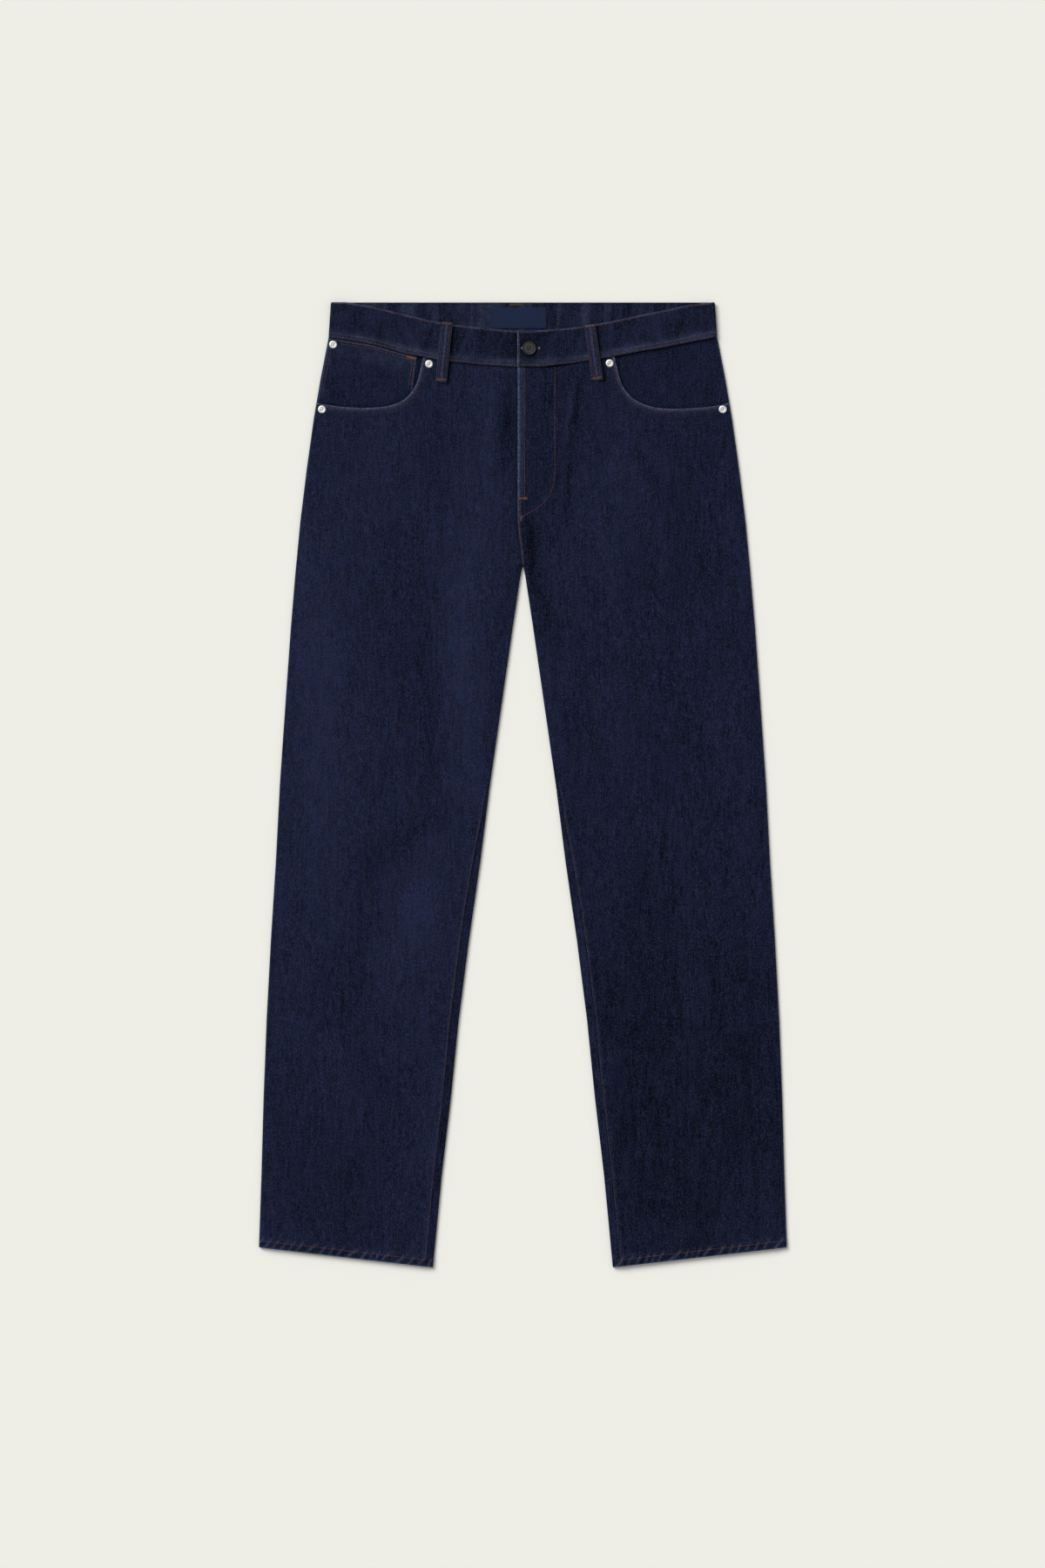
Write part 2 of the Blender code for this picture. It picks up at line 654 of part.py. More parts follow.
def coin_pocket(name):
    """The small pocket that lies on the left facing, moved out from it."""
    base = EDGE_HEIGHT + SEAM_GAP
    rows = []
    for down in COIN_ROWS:
        row = []
        for across in COIN_COLUMNS:
            top_x = mix(-BAND_LOW_HALF + COIN_EDGE_INSET, COIN_RIGHT_TOP_X, across)
            top_y = read(BAND_FRONT, "low", "x", top_x) - COIN_DROP
            low_x = mix(-outer_at(MOUTH_SIDE_Y) + COIN_EDGE_INSET, COIN_RIGHT_LOW_X, across)
            tuck = COIN_TUCK * ease((across - COIN_TUCK_START) / COIN_TUCK_EASE) - TUCK_GAP
            low_y = min(read(MOUTHS[-1], "y", "x", -low_x), COIN_HIGHEST_Y) - tuck
            x, y = mix(top_x, low_x, down), mix(top_y, low_y, down)
            row.append(((x, y, base + FACING_CLOTH), (x, y, base)))
        rows.append(row)
    return wall(name, rows, "denim_facing")


def band_ring(top, low, outer_z, inner_z, recess=0.0):
    """Rounded section of the waistband between its top and lower edge."""
    thick = inner_z - outer_z
    ring = []
    for share, inset in BAND_RIM:
        x, y = mix(top[0], low[0], share), mix(top[1], low[1], share)
        ring.append((x, y, outer_z + recess * np.sign(thick) + thick * inset))
    for share, inset in reversed(BAND_RIM):
        x, y = mix(top[0], low[0], share), mix(top[1], low[1], share)
        ring.append((x, y, inner_z - thick * inset))
    return ring


def band_front_section(share, lift):
    """A section of the band's front half: share runs from -1 at the left fold to 1 at the right."""
    top_x, low_x = share * BAND_TOP_HALF, share * BAND_LOW_HALF
    top = (top_x, read(BAND_FRONT, "top", "x", low_x))
    low = (low_x, read(BAND_FRONT, "low", "x", low_x))
    base = BAND_FRONT_Z + lift
    return band_ring(top, low, base + BAND_CLOTH, base)


def waistband(name):
    """The band all round: left end under, round the left fold, the back, and the right end on top."""
    radius = (BAND_FRONT_Z + BAND_CLOTH) / 2
    sections = []
    for x in LEFT_BAND_XS:
        dip = -BAND_DIP * ease((x - BAND_DIP_X) / BAND_DIP_EASE)
        sections.append(band_front_section(x / BAND_LOW_HALF, dip))
    sections += band_fold(-1, radius, BAND_FOLD_ANGLES)
    near, far = LOOP_WIDTH / 2 + BAND_RECESS_NEAR, LOOP_WIDTH / 2 + BAND_RECESS_FAR
    places = [(x, 0.0) for x in BAND_BACK_XS]
    for loop in BACK_LOOP_XS:
        places += [(loop + step, PAD_LIFT) for step in (-near, near)]
        places += [(loop + step, 0.0) for step in (-far, far)]
    for x, recess in sorted(places):
        top = (x * BAND_TOP_HALF / BAND_LOW_HALF, WAIST_TOP_Y)
        sections.append(band_ring(top, (x, WAIST_LOW_Y), 0.0, BAND_CLOTH, recess))
    sections += band_fold(1, radius, tuple(reversed(BAND_FOLD_ANGLES)))
    for x in RIGHT_BAND_XS:
        lift = (BAND_OVERLAP_Z - BAND_FRONT_Z) * ease((BAND_LIFT_X - x) / BAND_LIFT_EASE)
        sections.append(band_front_section(x / BAND_LOW_HALF, lift))
    return wall(name, sections, "denim_band", loop_across=True)


def band_fold(side, radius, angles):
    """Sections of the band round a side fold."""
    sections = []
    for angle in angles:
        turn = np.radians(angle)
        ring = []
        rims = ((radius, -1, BAND_RIM), (radius - BAND_CLOTH, 1, tuple(reversed(BAND_RIM))))
        for reach, toward, rim in rims:
            for share, inset in rim:
                arm = reach + toward * inset * BAND_CLOTH
                edge = mix(BAND_TOP_HALF, BAND_LOW_HALF, share) - radius
                y = mix(WAIST_TOP_Y, WAIST_LOW_Y, share)
                ring.append((side * (edge + arm * np.cos(turn)), y, radius + arm * np.sin(turn)))
        sections.append(ring)
    return sections


def front_loop(loop):
    """A belt loop arched over the band, its lower end on the panel."""
    half = LOOP_WIDTH / 2
    start = np.array((loop.top_x, loop.top_y))
    along = np.array((loop.low_x, loop.low_y)) - start
    length = np.linalg.norm(along)
    along = along / length
    across = np.array((-along[1], along[0]))
    band_top = BAND_FRONT_Z + BAND_CLOTH + SEAM_GAP
    panel = max(
        front_height(np.sign(loop.low_x), *(start + along * (length - d) + across * side * half))
        for d in (0.0, LOOP_LOW_END / 2, LOOP_LOW_END + PAD_FLAT)
        for side in (-1, 1)
    ) + SEAM_GAP
    stations = (
        (0.0, band_top),
        (LOOP_TACK, band_top),
        (LOOP_RISEN, band_top + LOOP_RISE),
        (LOOP_TOP_END, band_top + LOOP_RISE),
        (length - LOOP_LOW_START, band_top + LOOP_RISE * LOOP_LOW_RISE),
        (length - LOOP_LOW_END, max(panel, band_top)),
        (length, panel),
    )
    rows = []
    for distance, base in stations:
        row = []
        for place, crown in LOOP_RIM:
            x, y = start + along * distance + across * place * half
            row.append(((x, y, base + LOOP_CLOTH + crown), (x, y, base)))
        rows.append(row)
    return wall(loop.name, rows, "denim_band")


def back_pieces():
    """The pocket, and the loops, that lie on the floor under the back."""
    for side, word in ((-1, "left"), (1, "right")):
        outline = [(side * corner.share * outer_at(corner.y), corner.y) for corner in BACK_POCKET]
        plate("back_pocket_" + word, outline, 0.0, CLOTH, "denim")
    half = LOOP_WIDTH / 2
    top = WAIST_TOP_Y - SEAM_GAP
    for x, word in zip(BACK_LOOP_XS, BACK_LOOP_NAMES):
        outline = [
            (x - half, BACK_LOOP_LOW_Y), (x + half, BACK_LOOP_LOW_Y), (x + half, top), (x - half, top),
        ]
        plate("belt_loop_back_" + word, outline, 0.0, BACK_LOOP_CLOTH, "denim_band")


def waist_label():
    """The bare patch inside the back of the band."""
    low = BAND_CLOTH + SEAM_GAP
    high = low + LABEL_CLOTH
    outline = [
        (LABEL_LEFT, LABEL_LOW), (LABEL_RIGHT, LABEL_LOW),
        (LABEL_RIGHT, LABEL_TOP), (LABEL_LEFT, LABEL_TOP),
    ]
    plate("waist_label", outline, low, high, "label_cloth")


def button():
    """The button's head: a raised rim, a sunk face and a small dome in its middle."""
    profile = [(BUTTON_RADIUS * share, height) for share, height in BUTTON_PROFILE]
    place = (BUTTON_X, BUTTON_Y, BAND_OVERLAP_Z + BAND_CLOTH + SEAM_GAP)
    turned("button", profile, place, BUTTON_TURNS, "dark_metal")


def rivets():
    """Each rivet's cap, with its dimple and middle point."""
    for number, rivet in enumerate(RIVETS, 1):
        r = rivet.radius
        profile = [(r * share, height) for share, height in RIVET_PROFILE]
        side = np.sign(rivet.x)
        around = [
            front_height(side, rivet.x + r * np.cos(a), rivet.y + r * np.sin(a))
            for a in np.linspace(0.0, 2.0 * np.pi, RIVET_SEAT_TURNS)
        ]
        base = max(around)
        if number == COIN_RIVET:
            base = EDGE_HEIGHT + SEAM_GAP + FACING_CLOTH
        place = (rivet.x, rivet.y, base + SEAM_GAP)
        turned("rivet_%d" % number, profile, place, RIVET_TURNS, "bright_metal")


def main():
    """Clear the scene and build every piece."""
    for old in list(bpy.data.objects):
        bpy.data.objects.remove(old, do_unlink=True)
    for side, word in ((-1, "left"), (1, "right")):
        front_panel(side, "front_panel_" + word)
        back_panel(side, "back_panel_" + word)
        yoke(side, "yoke_" + word)
        pocket_facing(side, "pocket_facing_" + word)
    coin_pocket("coin_pocket")
    waistband("waistband")
    for loop in FRONT_LOOPS:
        front_loop(loop)
    back_pieces()
    waist_label()
    button()
    rivets()


main()
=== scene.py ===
"""Loose fit jeans laid flat, front up: denim shells, stitching, metal trim and a plain studio.

Sizes and places are in millimetres in the part's own frame, X across, Y toward the waist and Z up
from the floor, and become metres when a mesh is made.
"""

import logging
import math
from collections.abc import Callable, Sequence
from dataclasses import dataclass, field
from enum import Enum, IntEnum
from functools import partial

import bpy
import numpy as np
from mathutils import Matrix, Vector


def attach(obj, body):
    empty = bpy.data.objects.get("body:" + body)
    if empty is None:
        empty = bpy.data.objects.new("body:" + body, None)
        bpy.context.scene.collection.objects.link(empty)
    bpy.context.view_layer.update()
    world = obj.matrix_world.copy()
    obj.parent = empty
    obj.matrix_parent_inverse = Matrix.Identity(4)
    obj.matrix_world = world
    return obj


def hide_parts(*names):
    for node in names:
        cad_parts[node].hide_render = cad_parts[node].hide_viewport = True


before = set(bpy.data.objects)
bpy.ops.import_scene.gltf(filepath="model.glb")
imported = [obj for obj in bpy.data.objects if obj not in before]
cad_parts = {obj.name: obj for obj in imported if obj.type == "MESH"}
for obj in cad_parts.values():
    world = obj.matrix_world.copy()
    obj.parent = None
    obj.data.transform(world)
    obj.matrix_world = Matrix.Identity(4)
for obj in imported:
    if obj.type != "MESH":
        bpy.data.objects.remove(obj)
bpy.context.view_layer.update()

log = logging.getLogger("jeans")

METRES = 0.001
BODY = "root"
Array = np.ndarray
Socket = bpy.types.NodeSocket
Places = tuple[tuple[float, float], ...]
HeightAt = Callable[[Array, Array], Array]
# Degrees round a folded edge: 90 is its top, 0 its edge and -90 its foot.
FOOT_TO_EDGE = (-90, -72, -50, -25, 0)
EDGE_TO_TOP = (0, 25, 50, 72, 90)
TOP_TO_EDGE = (90, 72, 50, 25, 0)


class Side(IntEnum):
    """A side of the garment, as the camera sees it."""

    LEFT = -1
    RIGHT = 1

    @property
    def word(self) -> str:
        """The side as it stands in names."""
        return self.name.lower()


class Thread(Enum):
    """A sewing thread, by the word in the names of its pieces and finish."""

    COPPER = "copper"
    BROWN = "brown"
    TAN = "tan"
    NAVY = "navy"
    PALE = "pale"


def srgb(red: float, green: float, blue: float) -> tuple[float, float, float, float]:
    """Linear colour with full alpha from screen values of 0 to 255."""
    linear = []
    for value in (red, green, blue):
        share = value / 255.0
        linear.append(share / 12.92 if share <= 0.04045 else ((share + 0.055) / 1.055) ** 2.4)
    return (*linear, 1.0)


def ease(t: Array) -> Array:
    """Smooth step from 0 to 1."""
    t = np.clip(t, 0.0, 1.0)
    return t * t * (3.0 - 2.0 * t)


def mix(a: Array, b: Array, t: Array) -> Array:
    """The value t of the way from a to b."""
    return a + (b - a) * t


def falloff(distance: Array, start: float, reach: float) -> Array:
    """1 up to a distance from a line, then falling softly to 0 over a reach."""
    return 1.0 - ease((distance - start) / reach)


def bell(distance: Array, width: float) -> Array:
    """A soft hump that is 1 where the distance is 0."""
    return np.exp(-((distance / width) ** 2))


def joined(*columns: Array) -> Array:
    """Places from their x, y and perhaps z. Each of these may be one number for all."""
    return np.stack(np.broadcast_arrays(*columns), axis=-1)


def unit(aim: Array) -> Array:
    """Each row at length 1."""
    return aim / np.maximum(np.linalg.norm(aim, axis=1, keepdims=True), 1e-9)


def turned_left(aim: Array) -> Array:
    """Each direction turned a quarter to its left."""
    return joined(-aim[:, 1], aim[:, 0])


def uneven(x: Array, y: Array, cell: float, seed: float) -> Array:
    """Smooth repeatable unevenness from -1 to 1.

    Args:
        x: Places across.
        y: Places along.
        cell: Size of one swell.
        seed: A number that makes this unevenness differ from another.

    Returns:
        One value for each place.
    """
    gx, gy = np.asarray(x, float) / cell, np.asarray(y, float) / cell
    ix, iy = np.floor(gx), np.floor(gy)
    fx, fy = ease(gx - ix), ease(gy - iy)

    def corner(dx: int, dy: int) -> Array:
        """The value at a corner of the cell."""
        wave = np.sin((ix + dx) * 127.1 + (iy + dy) * 311.7 + seed * 74.7) * 43758.5453
        return wave - np.floor(wave)

    low = mix(corner(0, 0), corner(1, 0), fx)
    high = mix(corner(0, 1), corner(1, 1), fx)
    return mix(low, high, fy) * 2.0 - 1.0


def beside(x: Array, y: Array, path: Array) -> tuple[Array, Array]:
    """Distance from a path and how far along it, for each place.

    Args:
        x: Places across.
        y: Places along.
        path: The path's points, one row each.

    Returns:
        Distance from the path, and distance along it of the nearest point.
    """
    x, y = np.asarray(x, float), np.asarray(y, float)
    nearest = np.full(x.shape, 1e9)
    along = np.zeros(x.shape)
    walked = 0.0
    for (x0, y0), (x1, y1) in zip(path[:-1], path[1:]):
        dx, dy = x1 - x0, y1 - y0
        length = math.hypot(dx, dy)
        share = np.clip(((x - x0) * dx + (y - y0) * dy) / (length * length), 0.0, 1.0)
        away = np.hypot(x - x0 - dx * share, y - y0 - dy * share)
        closer = away < nearest
        nearest = np.where(closer, away, nearest)
        along = np.where(closer, walked + share * length, along)
        walked += length
    return nearest, along


def rounded(points: Sequence[tuple[float, float]], step: float = 3.0) -> Array:
    """A smooth path through a few points, with a point about every step."""
    knots = np.asarray(points, float)
    padded = np.vstack([2 * knots[0] - knots[1], knots, 2 * knots[-1] - knots[-2]])
    path = []
    for a, b, c, d in zip(padded[:-3], padded[1:-2], padded[2:-1], padded[3:]):
        count = max(int(np.linalg.norm(c - b) / step), 1)
        for t in np.arange(count) / count:
            path.append(
                0.5 * (2 * b + (c - a) * t + (2 * a - 5 * b + 4 * c - d) * t**2
                       + (3 * b - a - 3 * c + d) * t**3)
            )
    path.append(knots[-1])
    return np.asarray(path)


def walked_along(path: Array) -> Array:
    """Distance along a path of each of its points."""
    return np.concatenate([[0.0], np.cumsum(np.linalg.norm(np.diff(path, axis=0), axis=1))])


def walk(path: Array, step: float) -> tuple[Array, Array]:
    """Evenly spaced points on a path and its unit direction at each."""
    walked = walked_along(path)
    count = max(int(round(walked[-1] / step)), 1)
    middle = (np.arange(count) + 0.5) * walked[-1] / count

    def points_at(distance: Array) -> Array:
        """The path's points at distances along it."""
        return joined(*(np.interp(distance, walked, path[:, axis]) for axis in (0, 1)))

    return points_at(middle), unit(points_at(middle + 0.5) - points_at(middle - 0.5))


def moved_aside(path: Array, offset: float) -> Array:
    """The path moved to its left by an offset."""
    return path + turned_left(unit(np.gradient(path, axis=0))) * offset


def between(start: Array, end: Array, shares: Array) -> Array:
    """Points at shares of the way from one point to another."""
    return np.stack([mix(start, end, share) for share in shares])


def on_floor(x: Array, y: Array, raised: float = 0.0) -> Array:
    """Height of a level face: on the floor, or raised over it."""
    return x * 0.0 + raised


@dataclass(frozen=True)
class OutlineRow:
    """Half-widths of the garment at one height."""

    y: float
    outer: float
    inner: float


@dataclass(frozen=True)
class LevelRow:
    """One size of the garment at one height."""

    y: float
    size: float


@dataclass(frozen=True)
class BandRow:
    """Top and lower edge of the waistband's front at one place."""

    x: float
    top: float
    low: float


@dataclass(frozen=True)
class Fold:
    """A soft trough or ridge along a path. A trough's rise is negative."""

    path: Places
    width: float
    rise: float


@dataclass(frozen=True)
class FadeAndShadePatch:
    """A soft patch that is paler, or darker where the strength is negative. Some are real fades of the
    indigo; others are painted shade over a fold's trough or painted highlight over its ridge.
    """

    x: float
    y: float
    across: float
    along: float
    lean: float
    strength: float


@dataclass(frozen=True)
class Cut:
    """The garment's outline, layers and seams as they lie."""

    cloth: float = 1.2
    facing_cloth: float = 1.0
    hem_cloth: float = 2.0
    hem_depth: float = 10.0
    seam_gap: float = 0.12
    edge_height: float = 3.6
    hem_edge_height: float = 4.8
    edge_ease: float = 14.0
    waist_low: float = 513.6
    waist_top: float = 553.5
    crotch: float = 252.0
    hem_outer: float = -530.5
    hem_inner: float = -553.5
    fly_edge: float = -5.9
    fly_low: float = 304.0
    fly_underlap: float = 9.0
    underlap_low: float = 309.0
    underlap_ease: float = 10.0
    fly_lift: float = 1.6
    lift_low: float = 294.0
    lift_ease: float = 13.0
    rise_seam: float = -1.35
    yoke_middle: float = 438.0
    yoke_rise: float = 27.0
    yoke_reach: float = 232.0
    outline: tuple[OutlineRow, ...] = (
        OutlineRow(553.5, 220.4, 0.0), OutlineRow(513.3, 223.0, 0.0), OutlineRow(465.0, 232.4, 0.0),
        OutlineRow(420.5, 240.0, 0.0), OutlineRow(360.5, 248.4, 0.0), OutlineRow(300.5, 255.7, 0.0),
        OutlineRow(252.0, 260.3, 0.3), OutlineRow(240.0, 261.4, 2.7), OutlineRow(180.5, 266.4, 11.7),
        OutlineRow(90.5, 272.8, 24.7), OutlineRow(0.5, 279.0, 37.7), OutlineRow(-89.5, 283.7, 49.1),
        OutlineRow(-179.5, 289.4, 62.1), OutlineRow(-269.5, 294.2, 73.6),
        OutlineRow(-359.5, 297.7, 82.7), OutlineRow(-449.5, 300.2, 93.3),
        OutlineRow(-530.5, 303.0, 101.0), OutlineRow(-553.5, 303.0, 103.2),
    )
    inseam: tuple[LevelRow, ...] = (
        LevelRow(252.0, 0.0), LevelRow(20.0, 0.0), LevelRow(-30.0, 3.6), LevelRow(-90.0, 7.5),
        LevelRow(-150.0, 9.2), LevelRow(-553.5, 7.8),
    )
    front_height: tuple[LevelRow, ...] = (
        LevelRow(553.5, 6.2), LevelRow(455.0, 6.4), LevelRow(420.0, 6.4), LevelRow(385.0, 5.4),
        LevelRow(252.0, 4.9), LevelRow(100.0, 4.7), LevelRow(-560.0, 4.7),
    )
    mouth_left: Places = (
        (236.9, 438.3), (226.0, 436.0), (200.0, 432.8), (170.0, 432.6), (147.0, 436.5),
        (131.0, 446.5), (121.0, 463.0), (114.4, 491.0),
    )
    mouth_right: Places = (
        (236.9, 438.3), (222.0, 434.6), (196.0, 432.0), (166.0, 431.2), (143.0, 434.8),
        (124.0, 445.0), (112.4, 462.0), (105.0, 491.5),
    )
    mouth_side_y: float = 438.3
    band: tuple[BandRow, ...] = (
        BandRow(-223.0, 553.5, 513.6), BandRow(-205.0, 553.5, 510.6), BandRow(-174.0, 548.6, 505.5),
        BandRow(-133.0, 538.6, 493.9), BandRow(-114.4, 534.2, 490.7), BandRow(-90.0, 529.0, 486.2),
        BandRow(-56.0, 525.0, 482.4), BandRow(-20.0, 521.6, 480.2), BandRow(-6.0, 520.4, 479.5),
        BandRow(20.0, 520.8, 479.4), BandRow(56.0, 524.2, 483.3), BandRow(90.0, 529.2, 488.8),
        BandRow(105.0, 532.2, 491.6), BandRow(133.0, 538.0, 497.0), BandRow(162.0, 543.9, 501.6),
        BandRow(195.0, 551.0, 508.5), BandRow(223.0, 553.5, 513.6),
    )

    @staticmethod
    def read(rows: Sequence[OutlineRow | LevelRow], column: str, y: Array) -> Array:
        """A column's value at a height, from a table that runs from the waist to the hem."""
        upward = rows[::-1]
        return np.interp(y, [row.y for row in upward], [getattr(row, column) for row in upward])

    def outer(self, y: Array) -> Array:
        """Half-width of the garment."""
        return self.read(self.outline, "outer", y)

    def inner(self, y: Array) -> Array:
        """Distance of a leg's inner fold from the middle."""
        return self.read(self.outline, "inner", y)

    def inseam_offset(self, y: Array) -> Array:
        """How far the inseam lies from the inner fold, on the front."""
        return self.read(self.inseam, "size", y)

    def band_top(self, x: Array) -> Array:
        """Y of the front band's top edge."""
        return np.interp(x, [r.x for r in self.band], [r.top for r in self.band])

    def band_low(self, x: Array) -> Array:
        """Y of the front band's lower edge, which is the waist seam."""
        return np.interp(x, [r.x for r in self.band], [r.low for r in self.band])

    def rise(self, y: Array) -> Array:
        """X of the fly's edge and of the rise seam below it."""
        below = ease((self.fly_low - np.asarray(y, float)) / (self.fly_low - self.crotch))
        return mix(self.fly_edge, self.rise_seam, below)

    def fly_share(self, y: Array) -> Array:
        """How far the lapped fly has begun, from 0 at its foot to 1."""
        return ease((y - self.lift_low) / self.lift_ease)

    def centre(self, side: Side, y: Array) -> Array:
        """X of a front panel's edge at the fly and the rise seam."""
        if side is Side.RIGHT:
            return self.rise(y)
        under = ease((np.asarray(y, float) - self.underlap_low) / self.underlap_ease)
        return mix(self.rise(y) - self.seam_gap, self.rise(y) + self.fly_underlap, under)

    def mouth_path(self, side: Side) -> Array:
        """The pocket mouth's edge, from the side seam to the waist seam."""
        path = rounded(self.mouth_right if side is Side.RIGHT else self.mouth_left)
        return path * (int(side), 1)

    def yoke_seam(self, x: Array) -> Array:
        """Y of the back yoke's seam."""
        return self.yoke_middle + self.yoke_rise * np.abs(x) / self.yoke_reach

    def hem_line(self, side: Side) -> Array:
        """The hem's edge, from the outer to the inner fold."""
        foot = self.outline[-1]
        return np.asarray(((side * foot.outer, self.hem_outer), (side * foot.inner, self.hem_inner)))


@dataclass(frozen=True)
class Lay:
    """How the cloth lies: creases, lifted layers, puckered seams, where it is worn or faded, and where
    light and shade are painted on it.
    """

    cut: Cut = field(default_factory=Cut)
    folds: tuple[Fold, ...] = (
        Fold(((-100, 262), (-105, 150), (-104, 20), (-128, -50), (-160, -112)), 21, -1.35),
        Fold(((-160, -112), (-200, -215), (-214, -300), (-262, -420)), 24, -1.1),
        Fold(((-62, 240), (-58, 120), (-70, 5)), 22, 1.15),
        Fold(((-150, 190), (-160, 60), (-176, -40)), 26, 0.7),
        Fold(((-112, -105), (-132, -190), (-146, -290)), 24, 1.25),
        Fold(((-226, 200), (-232, 60), (-222, -60)), 24, 0.8),
        Fold(((-200, 330), (-196, 250), (-206, 170)), 22, -0.6),
        Fold(((-52, 335), (-56, 250)), 22, 0.8), Fold(((-90, 300), (-78, 205)), 15, -0.5),
        Fold(((-138, 410), (-150, 330), (-146, 250)), 18, 0.5),
        Fold(((-170, -330), (-176, -430), (-196, -520)), 22, -0.6),
        Fold(((-132, -330), (-138, -470)), 20, 0.5), Fold(((-252, -180), (-262, -300)), 20, 0.5),
        Fold(((60, 462), (55, 380), (51, 300), (44, 262)), 11, -1.5),
        Fold(((43, 462), (41, 400), (38, 330)), 8, 0.7), Fold(((72, 440), (68, 340)), 10, 0.5),
        Fold(((-19, 462), (-20, 400), (-17, 345)), 8, -0.8),
        Fold(((-36, 462), (-37, 400), (-34, 350)), 9, 0.7),
        Fold(((10, 298), (20, 240), (34, 165), (40, 90)), 11, -1.0),
        Fold(((58, 250), (70, 140), (84, 40)), 18, 0.6),
        Fold(((120, 400), (128, 300), (122, 200)), 24, -0.5),
        Fold(((168, 380), (176, 240), (168, 90)), 26, 0.6),
        Fold(((108, 60), (150, -60), (192, -190)), 24, -0.8),
        Fold(((222, 120), (214, -40), (218, -140)), 22, 0.5),
        Fold(((216, -150), (190, -300), (178, -430)), 26, 0.7),
        Fold(((112, -220), (140, -360), (150, -480)), 20, -0.6),
        Fold(((250, -260), (246, -400), (254, -500)), 18, -0.5),
    )
    # The patches that lie along the folds above are painted shade over troughs and painted highlight over
    # ridges; the rest are real fades.
    fade_and_shade_patches: tuple[FadeAndShadePatch, ...] = (
        FadeAndShadePatch(-228, 120, 40, 170, 0.0, 0.60), FadeAndShadePatch(-240, -80, 34, 90, 0.0, 0.25),
        FadeAndShadePatch(-62, 130, 24, 150, 0.05, 0.65), FadeAndShadePatch(-44, 290, 26, 55, 0.0, 0.35),
        FadeAndShadePatch(-132, -170, 30, 85, -0.3, 0.55), FadeAndShadePatch(-155, 330, 60, 80, 0.0, 0.12),
        FadeAndShadePatch(-108, 60, 12, 130, 0.05, -0.40), FadeAndShadePatch(-150, -70, 15, 60, -0.9, -0.50),
        FadeAndShadePatch(-200, -220, 30, 90, -0.4, -0.20), FadeAndShadePatch(-215, -440, 70, 110, 0.0, -0.25),
        FadeAndShadePatch(-120, -330, 26, 120, 0.0, 0.15), FadeAndShadePatch(-18, 410, 8, 50, 0.0, -0.70),
        FadeAndShadePatch(-36, 400, 9, 60, 0.0, 0.35), FadeAndShadePatch(9, 277, 7, 26, 0.1, -0.90),
        FadeAndShadePatch(24, 205, 9, 45, 0.3, -0.70), FadeAndShadePatch(60, 426, 4, 30, -0.12, -0.60),
        FadeAndShadePatch(53, 350, 5, 50, -0.1, -0.50), FadeAndShadePatch(53.5, 430, 2.4, 24, -0.12, 1.30),
        FadeAndShadePatch(48, 350, 3, 50, -0.05, 0.40), FadeAndShadePatch(104, 330, 40, 120, 0.0, 0.20),
        FadeAndShadePatch(28, 120, 14, 110, 0.1, 0.35), FadeAndShadePatch(165, 100, 34, 120, 0.0, -0.12),
        FadeAndShadePatch(190, -330, 110, 220, 0.0, -0.45), FadeAndShadePatch(245, 120, 30, 200, 0.0, 0.15),
    )
    back_loops: tuple[float, ...] = (-92.0, -8.0, 92.0)
    loop_half: float = 6.4
    loop_low: float = 495.5
    pad_lift: float = 1.5
    loop_margin: float = 1.2
    loop_ease: float = 6.0
    loop_shades: tuple[tuple[tuple[float, float], tuple[float, float]], ...] = (
        ((-80.0, 529.0), (-86.4, 462.0)), ((83.6, 527.0), (92.6, 464.0)),
    )
    pad_shares: tuple[float, float] = (0.26, 0.835)
    pad_levels: tuple[float, float] = (257.0, 409.0)
    hem_rope: float = 11.0
    rope_height: float = 0.2
    mouth_pucker: float = 0.22
    mouth_roll: float = 0.5
    mouth_foot: float = 425.0
    waist_dip: float = 0.8
    waist_pucker: float = 0.18
    felled_step: float = 0.55
    felled_width: float = 9.0
    felled_top: float = -20.0
    lap_from: float = 42.0
    lap_ease: float = 34.0
    fly_roll: float = 0.55
    fly_pucker: float = 0.16
    underlap_dip: float = 0.5
    fade_and_shade_gain: float = 1.25

    def creases(self, x: Array, y: Array) -> Array:
        """Height of all the soft folds and the small swells between them."""
        total = uneven(x, y, 34.0, 1.0) * 0.22 + uneven(x, y, 13.0, 2.0) * 0.10
        for fold in self.folds:
            path = np.asarray(fold.path, float)
            length = walked_along(path)[-1]
            away, along = beside(x, y, path)
            share = along / length
            fade = ease(share / 0.3 + 0.15) * ease((1.0 - share) / 0.3 + 0.15)
            waver = 1.0 + 0.25 * uneven(x, y, 40.0, 3.0)
            total += fold.rise * fade * bell(away, fold.width * waver)
        return total

    def puckers(self, x: Array, y: Array, path: Array, period: float, width: float) -> Array:
        """Short dents across a seam, from -1 to 1, fading away from it."""
        away, along = beside(x, y, path)
        shift = 2.2 * uneven(along, along * 0.0, period * 2.3, 5.0)
        return np.sin(2.0 * np.pi * along / period + shift) * bell(away, width)

    def hem_wave(self, side: Side, x: Array, y: Array) -> Array:
        """The slanted roping of the hem, from -1 to 1."""
        away, along = beside(x, y, self.cut.hem_line(side))
        shift = 3.2 * uneven(along, away * 0.0, 24.0, 7.0 + side)
        wave = np.sin(2.0 * np.pi * (along + 0.7 * side * away) / self.hem_rope + shift)
        return wave * ease((15.0 - away) / 6.0)

